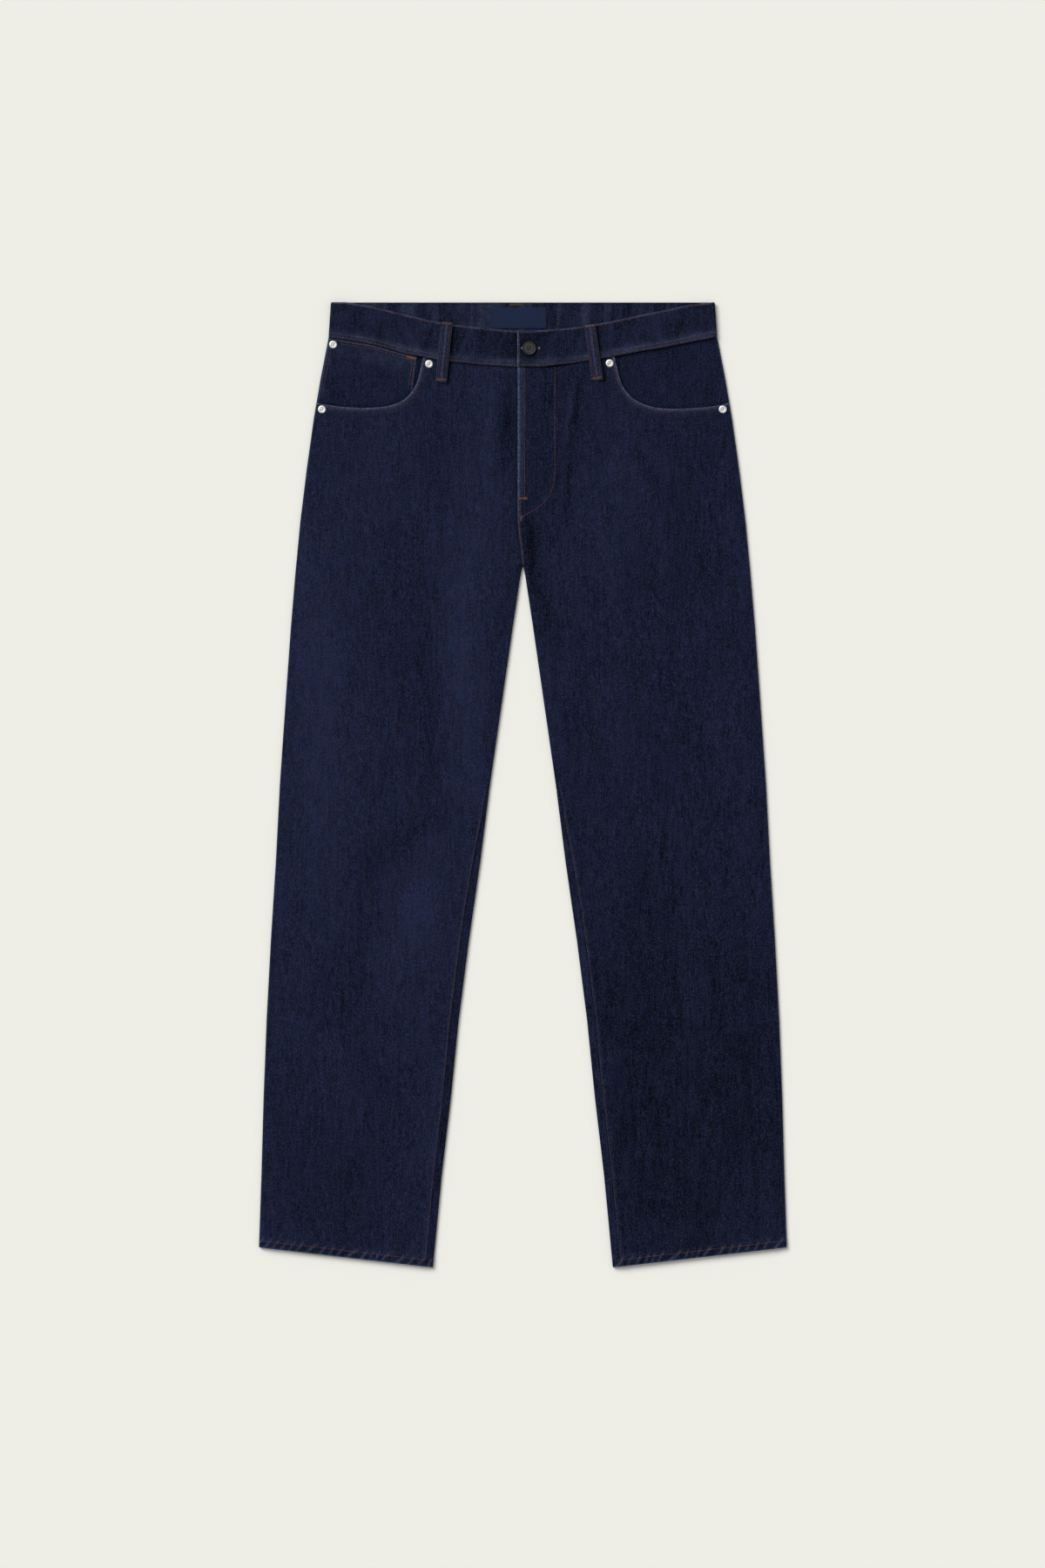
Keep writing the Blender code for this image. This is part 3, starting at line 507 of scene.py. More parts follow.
    def front(self, side: Side, x: Array, y: Array) -> Array:
        """Height of a front panel's outer face over the floor."""
        cut = self.cut
        x, y = np.asarray(x, float), np.asarray(y, float)
        height = cut.read(cut.front_height, "size", y) + self.creases(x, y)
        edge = np.abs(cut.outer(y) - np.abs(x))
        edge = np.where(y < cut.crotch, np.minimum(edge, np.abs(np.abs(x) - cut.inner(y))), edge)
        height = mix(cut.edge_height, height, ease(edge / cut.edge_ease))
        height += self.mouth_pucker * self.puckers(x, y, cut.mouth_path(side), 9.0, 7.0)
        seam = cut.band_low(x) - y
        height -= self.waist_dip * falloff(seam, 0.6, 4.0) * (seam > -2)
        height += self.waist_pucker * np.sin(x * 0.55 + side) * bell(seam, 9.0)
        mouth, _ = beside(x, y, cut.mouth_path(side))
        height -= self.mouth_roll * falloff(mouth, 0.0, 1.3) * (y > self.mouth_foot)
        down = np.abs(np.abs(x) - cut.inner(y) - cut.inseam_offset(y))
        felled = (y < self.felled_top) & (np.abs(x) > cut.inner(y) + cut.inseam_offset(y))
        height += self.felled_step * np.where(felled, ease((self.felled_width - down) / 3.0), 0.0)
        if side is Side.LEFT:
            return height - self.underlap_dip * ease((x - cut.fly_edge + 8.0) / 4.0) * cut.fly_share(y)
        over = ease((self.lap_from - x) / self.lap_ease) * cut.fly_share(y)
        height += cut.fly_lift * over
        height -= self.fly_roll * falloff(x - cut.rise(y), 0.0, 1.4) * (y > cut.lift_low + 2.0)
        fly = np.asarray(((2.1, 470.0), (2.1, 330.0)))
        return height + self.fly_pucker * self.puckers(x, y, fly, 11.0, 6.0)

    def hem_front(self, side: Side, x: Array, y: Array) -> Array:
        """Height of the front's outer face in the hem, which is doubled and roped."""
        bump = self.cut.hem_edge_height - self.cut.edge_height
        return self.front(side, x, y) + bump + self.rope_height * self.hem_wave(side, x, y)

    def under(self, x: Array, y: Array) -> Array:
        """How far pockets and loops lift the back cloth off the floor."""
        x, y = np.asarray(x, float), np.asarray(y, float)
        most = np.zeros(x.shape)
        for loop in self.back_loops:
            aside = np.maximum(np.abs(x - loop) - self.loop_half, self.loop_low - y)
            most = np.maximum(most, falloff(np.maximum(aside, 0.0), self.loop_margin, self.loop_ease))
        outer, (near, far), (low, high) = self.cut.outer(y), self.pad_shares, self.pad_levels
        share = np.abs(x) / outer
        outward = np.maximum(near - share, share - far) * outer
        level = np.maximum(y - high, low - y)
        beyond = np.maximum(np.maximum(outward, level), 0.0)
        return self.pad_lift * np.maximum(most, falloff(beyond, 3.0, 8.0))

    def under_loops(self, x: Array) -> Array:
        """How far the back loops lift the back band off the floor, from 0 to 1."""
        most = np.zeros(np.shape(x))
        for loop in self.back_loops:
            aside = np.abs(x - loop) - self.loop_half
            most = np.maximum(most, falloff(aside, self.loop_margin, self.loop_ease))
        return most

    def beside_loops(self, x: Array, y: Array) -> Array:
        """Shade on the right of each front loop, from 0 to 1."""
        total = np.zeros(np.shape(x))
        for path in self.loop_shades:
            away, _ = beside(x, y, np.asarray(path))
            total = np.maximum(total, 1.4 * falloff(away, 1.0, 4.0))
        return total

    def fade_and_shade(self, x: Array, y: Array) -> Array:
        """How much paler or darker the cloth is painted at each place: real fading, with painted light and
        shade along the folds.
        """
        total = uneven(x, y * 0.6, 17.0, 11.0) * 0.12 + uneven(x, y * 0.4, 50.0, 12.0) * 0.20
        total += uneven(x, y * 0.16, 7.0, 13.0) * 0.15
        for fade in self.fade_and_shade_patches:
            dx, dy = x - fade.x, y - fade.y
            turned_x = dx * math.cos(fade.lean) + dy * math.sin(fade.lean)
            turned_y = dy * math.cos(fade.lean) - dx * math.sin(fade.lean)
            reach = (turned_x / fade.across) ** 2 + (turned_y / fade.along) ** 2
            total += self.fade_and_shade_gain * fade.strength * np.exp(-reach)
        return total


class Nodes:
    """A small helper that adds and links the nodes of one tree."""

    def __init__(self, tree: bpy.types.NodeTree) -> None:
        """Keep the tree that the nodes go into."""
        self.tree = tree

    def add(self, kind: str, **settings: object) -> bpy.types.Node:
        """Add a node of a kind and set its properties."""
        node = self.tree.nodes.new(kind)
        for name, value in settings.items():
            setattr(node, name, value)
        return node

    def feed(self, node: bpy.types.Node, **values: object) -> bpy.types.Node:
        """Set or link a node's inputs by name, with _ for a space."""
        for name, value in values.items():
            socket = node.inputs[name.replace("_", " ")]
            self.put(socket, value)
        return node

    def put(self, socket: Socket, value: object) -> None:
        """Link a socket into an input, or set a plain value on it."""
        if isinstance(value, Socket):
            self.tree.links.new(value, socket)
        else:
            socket.default_value = value

    def math(self, operation: str, a: object, b: object = 0.0, clamp: bool = False) -> Socket:
        """The result of a Math node."""
        node = self.add("ShaderNodeMath", operation=operation, use_clamp=clamp)
        self.put(node.inputs[0], a)
        self.put(node.inputs[1], b)
        return node.outputs[0]

    def blend(self, factor: object, a: object, b: object) -> Socket:
        """A colour between two colours."""
        node = self.add("ShaderNodeMix", data_type="RGBA")
        self.put(node.inputs[0], factor)
        self.put(node.inputs[6], a)
        self.put(node.inputs[7], b)
        return node.outputs[2]

    def noise(self, vector: object, scale: float, detail: float = 2.0) -> Socket:
        """A noise value from 0 to 1."""
        node = self.add("ShaderNodeTexNoise")
        self.feed(node, Vector=vector, Scale=scale, Detail=detail)
        return node.outputs[0]

    def stretched(self, vector: object, scale: tuple[float, float, float], turn: float = 0.0) -> Socket:
        """Coordinates scaled by axis and turned about Z."""
        node = self.add("ShaderNodeMapping")
        self.feed(node, Vector=vector, Scale=scale, Rotation=(0.0, 0.0, turn))
        return node.outputs[0]

    def spread(self, value: object, low: float, high: float) -> Socket:
        """A value spread so that low becomes 0 and high becomes 1."""
        node = self.add("ShaderNodeMapRange")
        self.feed(node, Value=value, From_Min=low, From_Max=high)
        return node.outputs[0]

    def painted(self, mask: str) -> Socket:
        """The value of a mask that is painted on the points."""
        return self.add("ShaderNodeAttribute", attribute_name=mask).outputs["Fac"]

    def shared(self, group_name: str, **values: object) -> bpy.types.Node:
        """A shared group, with its inputs fed."""
        node = self.add("ShaderNodeGroup", node_tree=bpy.data.node_groups[group_name])
        return self.feed(node, **values)

    def bumped(self, strength: float, distance: float, height: object) -> Socket:
        """A normal bumped by a height."""
        node = self.add("ShaderNodeBump")
        self.feed(node, Strength=strength, Distance=distance, Height=height)
        return node.outputs["Normal"]


def group(
    name: str, inputs: Sequence[tuple[str, str, object]], outputs: Sequence[str],
) -> tuple[Nodes, dict, dict]:
    """A new node group with named sockets.

    Args:
        name: The group's name.
        inputs: Name, socket kind and default value of each input.
        outputs: Name of each output, all plain values.

    Returns:
        The node helper, the group's input sockets by name, and its output sockets by name.
    """
    tree = bpy.data.node_groups.new(name, "ShaderNodeTree")
    for socket_name, kind, value in inputs:
        socket = tree.interface.new_socket(socket_name, in_out="INPUT", socket_type=kind)
        if value is not None:
            socket.default_value = value
    for socket_name in outputs:
        tree.interface.new_socket(socket_name, in_out="OUTPUT", socket_type="NodeSocketFloat")
    nodes = Nodes(tree)
    start = nodes.add("NodeGroupInput")
    end = nodes.add("NodeGroupOutput")
    return (
        nodes,
        {s.name: s for s in start.outputs if s.name},
        {s.name: s for s in end.inputs if s.name},
    )


def twill_group() -> None:
    """Slanting twill ribs, broken up as yarns are."""
    nodes, given, out = group(
        "denim_twill",
        (("Vector", "NodeSocketVector", None), ("Rib", "NodeSocketFloat", 0.0011)),
        ("Height", "Rib"),
    )
    parts = nodes.add("ShaderNodeSeparateXYZ")
    nodes.feed(parts, Vector=given["Vector"])
    slant = nodes.math("ADD", parts.outputs[0], nodes.math("MULTIPLY", parts.outputs[1], -0.52))
    waver = nodes.noise(nodes.stretched(given["Vector"], (900.0, 260.0, 900.0)), 1.0)
    slant = nodes.math("ADD", slant, nodes.math("MULTIPLY", waver, 0.0006))
    turns = nodes.math("DIVIDE", nodes.math("MULTIPLY", slant, 6.2832), given["Rib"])
    rib = nodes.math("MULTIPLY_ADD", nodes.math("SINE", turns), 0.5)
    rib.node.inputs[2].default_value = 0.5
    pick = nodes.math("MULTIPLY", parts.outputs[1], 6900.0)
    pick = nodes.math("MULTIPLY_ADD", nodes.math("SINE", pick), 0.15)
    pick.node.inputs[2].default_value = 0.85
    nodes.put(out["Height"], nodes.math("MULTIPLY", rib, pick))
    nodes.put(out["Rib"], rib)


def yarn_group() -> None:
    """Slubby yarns and specks: how pale each yarn is, from 0 to 1."""
    nodes, given, out = group(
        "denim_yarn",
        (
            ("Vector", "NodeSocketVector", None),
            ("Streak", "NodeSocketFloat", 0.45),
            ("Speck", "NodeSocketFloat", 0.40),
            ("Mottle", "NodeSocketFloat", 0.25),
        ),
        ("Value", "Specks"),
    )
    streak = nodes.noise(nodes.stretched(given["Vector"], (640.0, 84.0, 640.0)), 1.0, 2.0)
    slub = nodes.noise(nodes.stretched(given["Vector"], (330.0, 30.0, 330.0)), 1.0, 1.0)
    speck = nodes.noise(nodes.stretched(given["Vector"], (900.0, 500.0, 900.0)), 1.0, 2.0)
    mottle = nodes.noise(nodes.stretched(given["Vector"], (130.0, 90.0, 130.0)), 1.0, 2.0)
    total = 0.5
    slubs = nodes.math("MULTIPLY", given["Streak"], 0.5)
    for value, weight in (
        (streak, given["Streak"]), (slub, slubs), (speck, given["Speck"]), (mottle, given["Mottle"]),
    ):
        centred = nodes.math("MULTIPLY", nodes.math("SUBTRACT", value, 0.5), 2.6)
        total = nodes.math("ADD", total, nodes.math("MULTIPLY", centred, weight))
    nodes.put(out["Value"], nodes.math("MAXIMUM", nodes.math("MINIMUM", total, 1.0), 0.0))
    nodes.put(out["Specks"], nodes.spread(speck, 0.56, 0.72))


def wear_group() -> None:
    """Rubbed edges: breaks a painted mask up into threads."""
    nodes, given, out = group(
        "denim_wear",
        (
            ("Vector", "NodeSocketVector", None),
            ("Mask", "NodeSocketFloat", 0.0),
            ("Break", "NodeSocketFloat", 0.6),
        ),
        ("Value",),
    )
    grain = nodes.noise(nodes.stretched(given["Vector"], (420.0, 420.0, 420.0)), 1.0, 3.0)
    broken = nodes.math("MULTIPLY", nodes.spread(grain, 0.38, 0.62), given["Break"])
    kept = nodes.math("ADD", nodes.math("SUBTRACT", 1.0, given["Break"]), broken)
    nodes.put(out["Value"], nodes.math("MULTIPLY", given["Mask"], kept, clamp=True))


@dataclass(frozen=True)
class Finish:
    """What every finish starts from."""

    name: str

    def begin(self) -> tuple[bpy.types.Material, Nodes, bpy.types.Node, Socket]:
        """A new material, its node helper, its shader and the piece's own coordinates."""
        material = bpy.data.materials.new(self.name)
        material.use_nodes = True
        nodes = Nodes(material.node_tree)
        shader = material.node_tree.nodes["Principled BSDF"]
        return material, nodes, shader, nodes.add("ShaderNodeTexCoord").outputs["Object"]


@dataclass(frozen=True)
class DenimFinish(Finish):
    """A dark indigo twill with slubs, faded patches, rubbed edges and painted shade, with painted light and
    shade along folds in its fade mask.
    """

    dark: tuple[float, float, float] = (4, 6, 15)
    pale: tuple[float, float, float] = (32, 39, 68)
    warm: tuple[float, float, float] = (35, 38, 63)
    worn: tuple[float, float, float] = (98, 112, 146)
    # Colour of painted shade: shadows beside loops, lapped edges and the button, and shade in seams, hems
    # and creases.
    deep: tuple[float, float, float] = (5, 6, 12)
    streak: float = 0.36
    speck: float = 0.64
    mottle: float = 0.10
    rib_contrast: float = 0.32
    fade_and_shade_reach: float = 0.35
    speck_reach: float = 0.06
    painted_shade_reach: float = 0.8
    wear_reach: float = 0.82
    bump: float = 0.35

    def material(self) -> bpy.types.Material:
        """Build the cloth's material."""
        material, nodes, shader, place = self.begin()
        yarn = nodes.shared(
            "denim_yarn", Vector=place, Streak=self.streak, Speck=self.speck, Mottle=self.mottle,
        )
        twill = nodes.shared("denim_twill", Vector=place)
        wear = nodes.shared("denim_wear", Vector=place, Mask=nodes.painted("wear"))
        # The fade mask holds real fading together with painted light and shade along folds, band creases
        # and the two legs.
        fade_and_shade = nodes.math("MULTIPLY", nodes.painted("fade"), self.fade_and_shade_reach)
        paleness = nodes.math("ADD", yarn.outputs["Value"], fade_and_shade)
        centred = nodes.math("SUBTRACT", twill.outputs["Rib"], 0.5)
        ribbed = nodes.math("MULTIPLY", centred, self.rib_contrast)
        paleness = nodes.math("ADD", paleness, ribbed, clamp=True)
        clouds = nodes.noise(nodes.stretched(place, (110.0, 70.0, 110.0)), 1.0, 2.0)
        pale = nodes.blend(nodes.spread(clouds, 0.35, 0.65), srgb(*self.pale), srgb(*self.warm))
        cloth = nodes.blend(paleness, srgb(*self.dark), pale)
        # Blends specks, painted shade and rubbed edges over the cloth.
        for amount, share, colour in (
            (yarn.outputs["Specks"], self.speck_reach, self.worn),
            (nodes.painted("deep"), self.painted_shade_reach, self.deep),
            (wear.outputs["Value"], self.wear_reach, self.worn),
        ):
            cloth = nodes.blend(nodes.math("MULTIPLY", amount, share), cloth, srgb(*colour))
        nodes.put(shader.inputs["Base Color"], cloth)
        rough = nodes.math("MULTIPLY", yarn.outputs["Value"], -0.08)
        nodes.put(shader.inputs["Roughness"], nodes.math("ADD", rough, 0.95))
        shader.inputs["Specular IOR Level"].default_value = 0.05
        slubs = nodes.math("MULTIPLY", yarn.outputs["Value"], 0.9)
        height = nodes.math("ADD", twill.outputs["Height"], slubs)
        nodes.put(shader.inputs["Normal"], nodes.bumped(self.bump, 0.00035, height))
        return material


@dataclass(frozen=True)
class ThreadFinish(Finish):
    """A twisted sewing thread."""

    colour: tuple[float, float, float]
    shade: tuple[float, float, float]

    def material(self) -> bpy.types.Material:
        """Build the thread's material."""
        material, nodes, shader, place = self.begin()
        patchy = nodes.noise(place, 260.0, 2.0)
        tone = nodes.blend(nodes.spread(patchy, 0.3, 0.7), srgb(*self.shade), srgb(*self.colour))
        nodes.put(shader.inputs["Base Color"], tone)
        twist = nodes.noise(nodes.stretched(place, (2600.0, 2600.0, 2600.0)), 1.0, 1.0)
        nodes.put(shader.inputs["Normal"], nodes.bumped(0.4, 0.0001, twist))
        rough = nodes.math("MULTIPLY", patchy, 0.1)
        nodes.put(shader.inputs["Roughness"], nodes.math("ADD", rough, 0.6))
        shader.inputs["Specular IOR Level"].default_value = 0.2
        return material


@dataclass(frozen=True)
class PatchFinish(Finish):
    """The woven patch inside the waistband."""

    face: tuple[float, float, float] = (16, 33, 66)
    dark: tuple[float, float, float] = (13, 24, 46)

    def material(self) -> bpy.types.Material:
        """Build the patch's fine plain weave."""
        material, nodes, shader, place = self.begin()
        cells = nodes.noise(nodes.stretched(place, (2200.0, 1300.0, 1300.0)), 1.0, 1.0)
        cloud = nodes.noise(place, 90.0, 3.0)
        fine, broad = nodes.math("MULTIPLY", cells, 0.5), nodes.math("MULTIPLY", cloud, 0.6)
        tone = nodes.spread(nodes.math("ADD", fine, broad), 0.3, 0.8)
        nodes.put(shader.inputs["Base Color"], nodes.blend(tone, srgb(*self.dark), srgb(*self.face)))
        nodes.put(shader.inputs["Normal"], nodes.bumped(0.3, 0.0002, cells))
        rough = nodes.math("MULTIPLY", cloud, 0.15)
        nodes.put(shader.inputs["Roughness"], nodes.math("ADD", rough, 0.72))
        shader.inputs["Specular IOR Level"].default_value = 0.2
        return material


@dataclass(frozen=True)
class MetalFinish(Finish):
    """Cast metal with tarnish in its hollows and fine scratches."""

    bright: tuple[float, float, float]
    dull: tuple[float, float, float]
    roughness: float

    def material(self) -> bpy.types.Material:
        """Build the metal's material."""
        material, nodes, shader, place = self.begin()
        cloud = nodes.noise(place, 420.0, 3.0)
        stained = nodes.math("MULTIPLY", cloud, 0.45)
        dirt = nodes.math("ADD", stained, nodes.painted("tarnish"), clamp=True)
        nodes.put(shader.inputs["Base Color"], nodes.blend(dirt, srgb(*self.bright), srgb(*self.dull)))
        rough = nodes.math("MULTIPLY", cloud, 0.2)
        nodes.put(shader.inputs["Roughness"], nodes.math("ADD", rough, self.roughness))
        scratch = nodes.noise(nodes.stretched(place, (5200.0, 700.0, 700.0), 0.6), 1.0, 2.0)
        nodes.put(shader.inputs["Normal"], nodes.bumped(0.12, 0.0001, scratch))
        shader.inputs["Metallic"].default_value = 1.0
        return material


@dataclass
class Wardrobe:
    """Every finish, made once and handed to the pieces."""

    made: dict[str, bpy.types.Material] = field(default_factory=dict)

    def build(self) -> "Wardrobe":
        """Make the shared groups and all the materials."""
        twill_group()
        yarn_group()
        wear_group()
        finishes = (
            DenimFinish("denim_leg"),
            DenimFinish(
                "denim_facing", dark=(4, 6, 16), pale=(30, 37, 66), warm=(33, 37, 61), streak=0.34,
            ),
            DenimFinish("denim_band", pale=(33, 39, 66), wear_reach=0.9),
            ThreadFinish("thread_copper", (110, 66, 50), (60, 42, 42)),
            ThreadFinish("thread_tan", (92, 78, 76), (50, 46, 56)),
            ThreadFinish("thread_brown", (68, 48, 42), (40, 32, 34)),
            ThreadFinish("thread_navy", (34, 38, 58), (5, 6, 11)),
            ThreadFinish("thread_pale", (112, 118, 136), (70, 76, 96)),
            PatchFinish("patch_cloth"),
            MetalFinish("button_metal", (84, 84, 80), (28, 28, 27), 0.52),
            MetalFinish("rivet_metal", (244, 243, 238), (168, 166, 158), 0.38),
        )
        for finish in finishes:
            self.made[finish.name] = finish.material()
        return self

    def __getitem__(self, name: str) -> bpy.types.Material:
        """The material of that name."""
        return self.made[name]


def make_piece(
    name: str,
    points: Array,
    faces: Sequence[Sequence[int]],
    material: bpy.types.Material,
    masks: dict[str, Array] | None = None,
    sharp: float = 55.0,
) -> bpy.types.Object:
    """Make one object that rides on the part.

    Args:
        name: The piece's name.
        points: Its points in millimetres, one row each.
        faces: Point numbers of each face.
        material: Its material.
        masks: Painted values for each point, by name.
        sharp: Edges turned more than this many degrees are drawn sharp.

    Returns:
        The new object.
    """
    mesh = bpy.data.meshes.new(name)
    mesh.from_pydata((np.asarray(points, float) * METRES).tolist(), [], [tuple(f) for f in faces])
    mesh.validate()
    for mask, values in (masks or {}).items():
        layer = mesh.attributes.new(mask, "FLOAT", "POINT")
        layer.data.foreach_set("value", np.clip(np.asarray(values, np.float32).ravel(), -2.0, 2.0))
    mesh.shade_smooth()
    mesh.set_sharp_from_angle(angle=math.radians(sharp))
    mesh.materials.append(material)
    piece = bpy.data.objects.new(name, mesh)
    bpy.context.scene.collection.objects.link(piece)
    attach(piece, BODY)
    log.info("%s: %d faces", name, len(mesh.polygons))
    return piece


def sheet_faces(down: int, across: int) -> list[tuple[int, int, int, int]]:
    """Faces of a closed sheet whose outer points come first and inner points after."""
    rows, columns = np.meshgrid(np.arange(down - 1), np.arange(across - 1), indexing="ij")
    corner = (rows * across + columns).ravel()
    quads = np.stack([corner, corner + 1, corner + across + 1, corner + across], axis=1)
    inner = down * across
    border = [c for c in range(across)]
    border += [r * across + across - 1 for r in range(1, down)]
    border += [(down - 1) * across + c for c in reversed(range(across - 1))]
    border += [r * across for r in reversed(range(1, down - 1))]
    rim = [(b, a, inner + a, inner + b) for a, b in zip(border, border[1:] + border[:1])]
    return quads.tolist() + (quads[:, ::-1] + inner).tolist() + rim


def facing_out(outer: Array, faces: list, upward: bool) -> list:
    """Turn every face over where the first ones look the wrong way."""
    across = np.gradient(outer, axis=1)[:-1, :-1].reshape(-1, 3)
    down = np.gradient(outer, axis=0)[:-1, :-1].reshape(-1, 3)
    up = np.cross(across, down)[:, 2].sum() > 0
    if up == upward:
        return faces
    return [tuple(reversed(face)) for face in faces]


def make_sheet(
    name: str,
    node: str,
    outer: Array,
    inner: Array,
    material: bpy.types.Material,
    slot: str,
    upward: bool,
    masks: dict[str, Array],
    rests_on: Sequence[str],
) -> None:
    """Make one cloth sheet from its outer and inner points, and hide the plain solid it takes the place of.

    Args:
        name: The piece's name.
        node: The plain solid that it takes the place of.
        outer: Outer points, by row and column.
        inner: Inner points, by row and column.
        material: Its material.
        slot: The record's material slot; not used.
        upward: Whether its outer face looks up.
        masks: Painted values of the outer points, by name.
        rests_on: What it lies on; not used.
    """
    down, across = outer.shape[:2]
    faces = facing_out(outer, sheet_faces(down, across), upward)
    points = np.concatenate([outer.reshape(-1, 3), inner.reshape(-1, 3)])
    both = {mask: np.concatenate([v.ravel(), v.ravel() * 0.0]) for mask, v in masks.items()}
    piece = make_piece(name, points, faces, material, both)
    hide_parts(node)


@dataclass
class Sewing:
    """Stitches and bar tacks, gathered as meshes by thread and place."""

    wardrobe: Wardrobe
    pitch: float = 2.8
    length: float = 1.95
    radius: float = 0.42
    tack_pitch: float = 0.75
    tack_radius: float = 0.50
    spokes: int = 6
    rings: tuple[tuple[float, float, float], ...] = (
        (-1.0, 0.3, -0.45), (-0.72, 0.9, 0.25), (0.0, 1.0, 0.5), (0.72, 0.9, 0.25), (1.0, 0.3, -0.45),
    )
    points: dict[tuple[Thread, str], list[Array]] = field(default_factory=dict)

    def run(
        self,
        where: str,
        path: Array,
        height: HeightAt,
        thread: Thread = Thread.COPPER,
        down: bool = False,
        pitch: float | None = None,
        length: float | None = None,
        radius: float | None = None,
    ) -> None:
        """Sew a row of stitches along a path.

        Args:
            where: The group of stitches that this row joins.
            path: The row's points.
            height: Height of the cloth's face under each place.
            thread: Which thread.
            down: Whether the face looks down to the floor.
            pitch: Distance from stitch to stitch.
            length: Length of a stitch.
            radius: Half its thickness.
        """
        place, aim = walk(np.asarray(path, float), pitch or self.pitch)
        length, radius = length or self.length, radius or self.radius
        self.stitches(where, place, aim, height, thread, down, length, radius)

    def stitches(
        self, where: str, place: Array, aim: Array, height: HeightAt, thread: Thread,
        down: bool, length: float, radius: float,
    ) -> None:
        """Add a stitch at each place, pointing along its aim."""
        half = length / 2
        jitter = 1.0 + 0.12 * uneven(place[:, 0], place[:, 1], 2.0, 21.0)
        aside = turned_left(aim)
        sign = -1.0 if down else 1.0
        shape = []
        for step, swell, sink in self.rings:
            middle = place + aim * (step * half * jitter)[:, None]
            level = height(middle[:, 0], middle[:, 1]) + sign * radius * sink
            for spoke in range(self.spokes):
                turn = 2.0 * math.pi * spoke / self.spokes
                out = middle + aside * (radius * swell * math.cos(turn))
                rise = level + sign * radius * swell * math.sin(turn) * 0.8
                shape.append(np.column_stack([out, rise]))
        stack = np.stack(shape, axis=1)
        if down:
            rings = stack.reshape(len(place), len(self.rings), self.spokes, 3)
            stack = rings[:, :, ::-1].reshape(stack.shape)
        self.points.setdefault((thread, where), []).append(stack)

    def bar(
        self, where: str, centre: tuple[float, float], aim: tuple[float, float], length: float,
        width: float, height: HeightAt, thread: Thread = Thread.COPPER, down: bool = False,
    ) -> None:
        """Sew a bar tack: close stitches side by side across its length."""
        along = np.asarray(aim, float) / np.linalg.norm(aim)
        aside = np.array((-along[1], along[0]))
        count = max(int(length / self.tack_pitch), 2)
        steps = (np.arange(count) - (count - 1) / 2) * self.tack_pitch
        place = np.asarray(centre, float) + steps[:, None] * along
        slant = aside + along * 0.18
        aims = np.tile(slant / np.linalg.norm(slant), (count, 1))
        self.stitches(where, place, aims, height, thread, down, width + 0.8, self.tack_radius)

    def build(self) -> None:
        """Join the gathered stitches into one piece for each thread and place."""
        spokes, last = self.spokes, self.spokes * (len(self.rings) - 1)
        each = []
        for start in range(0, last, spokes):
            for spoke in range(spokes):
                a, b = start + spoke, start + (spoke + 1) % spokes
                each.append((a, b, b + spokes, a + spokes))
        each += [tuple(reversed(range(spokes))), tuple(range(last, last + spokes))]
        for (thread, where), stacks in self.points.items():
            stack = np.concatenate(stacks)
            faces = []
            for index in range(len(stack)):
                base = index * (last + spokes)
                faces += [tuple(base + corner for corner in face) for face in each]
            name = "stitches_" + thread.value + "_" + where
            material = self.wardrobe["thread_" + thread.value]
            make_piece(name, stack.reshape(-1, 3), faces, material, sharp=70.0)


def arc(
    side: Side, edge: Array, y: Array, outward: int, angles: Sequence[float], cloth: Array, height: Array,
) -> tuple[Array, Array]:
    """Outer and inner points round folded edges, one row for each y.

    Args:
        side: Side of the garment.
        edge: Distance of the edge from the middle.
        y: Height of each row.
        outward: 1 where the edge is the outer one, -1 where it is the inner one.
        angles: Degrees round the fold: 90 is its top, 0 its edge and -90 its foot.
        cloth: Thickness of the cloth.
        height: Height of the fold.

    Returns:
        Outer and inner points by row and angle.
    """
    turn = np.radians(np.asarray(angles, float))[None, :]
    radius = (np.asarray(height, float) / 2)[:, None]
    pair = []
    for reach in (radius, radius - np.asarray(cloth, float)[:, None]):
        x = side * (edge[:, None] - outward * (radius - reach * np.cos(turn)))
        pair.append(joined(x, y[:, None], radius + reach * np.sin(turn)))
    return pair[0], pair[1]


def arc_row(
    side: Side, edge: float, y: float, outward: int, angles: Sequence[float], cloth: float, height: float,
) -> tuple[Array, Array]:
    """Outer and inner points round one folded edge, as one row of an arc."""
    sizes = (np.array([size]) for size in (cloth, height))
    outer, inner = arc(side, np.array([edge]), np.array([y]), outward, angles, *sizes)
    return outer[0], inner[0]


def floor_row(flat: Array, turned: tuple[Array, Array], cloth: float) -> tuple[Array, Array]:
    """A row that lies on the floor and turns up at its end."""
    return np.concatenate([flat, turned[0]]), np.concatenate([flat + (0, 0, cloth), turned[1]])


def walls(rows: Sequence[tuple[Array, Array]]) -> list[Array]:
    """The outer and the inner wall from rows of both."""
    return [np.asarray(wall) for wall in zip(*rows)]


def mirrored(*shares: float) -> Array:
    """Shares from one edge, the same from the other, and the middle: -1 to 1."""
    return np.array([*(-share for share in shares), 0.0, *reversed(shares)])


def inset_grid(across: Array, down: Array, width: float, length: float) -> Array:
    """Distance from the edge of a width by length grid, from shares across and down it."""
    inset_across = np.minimum(across, 1.0 - across)[None, :] * width
    return np.minimum(inset_across, np.minimum(down, 1.0 - down)[:, None] * length)


@dataclass
class Maker:
    """What the makers of the garment's parts share."""

    lay: Lay
    wardrobe: Wardrobe
    sewing: Sewing


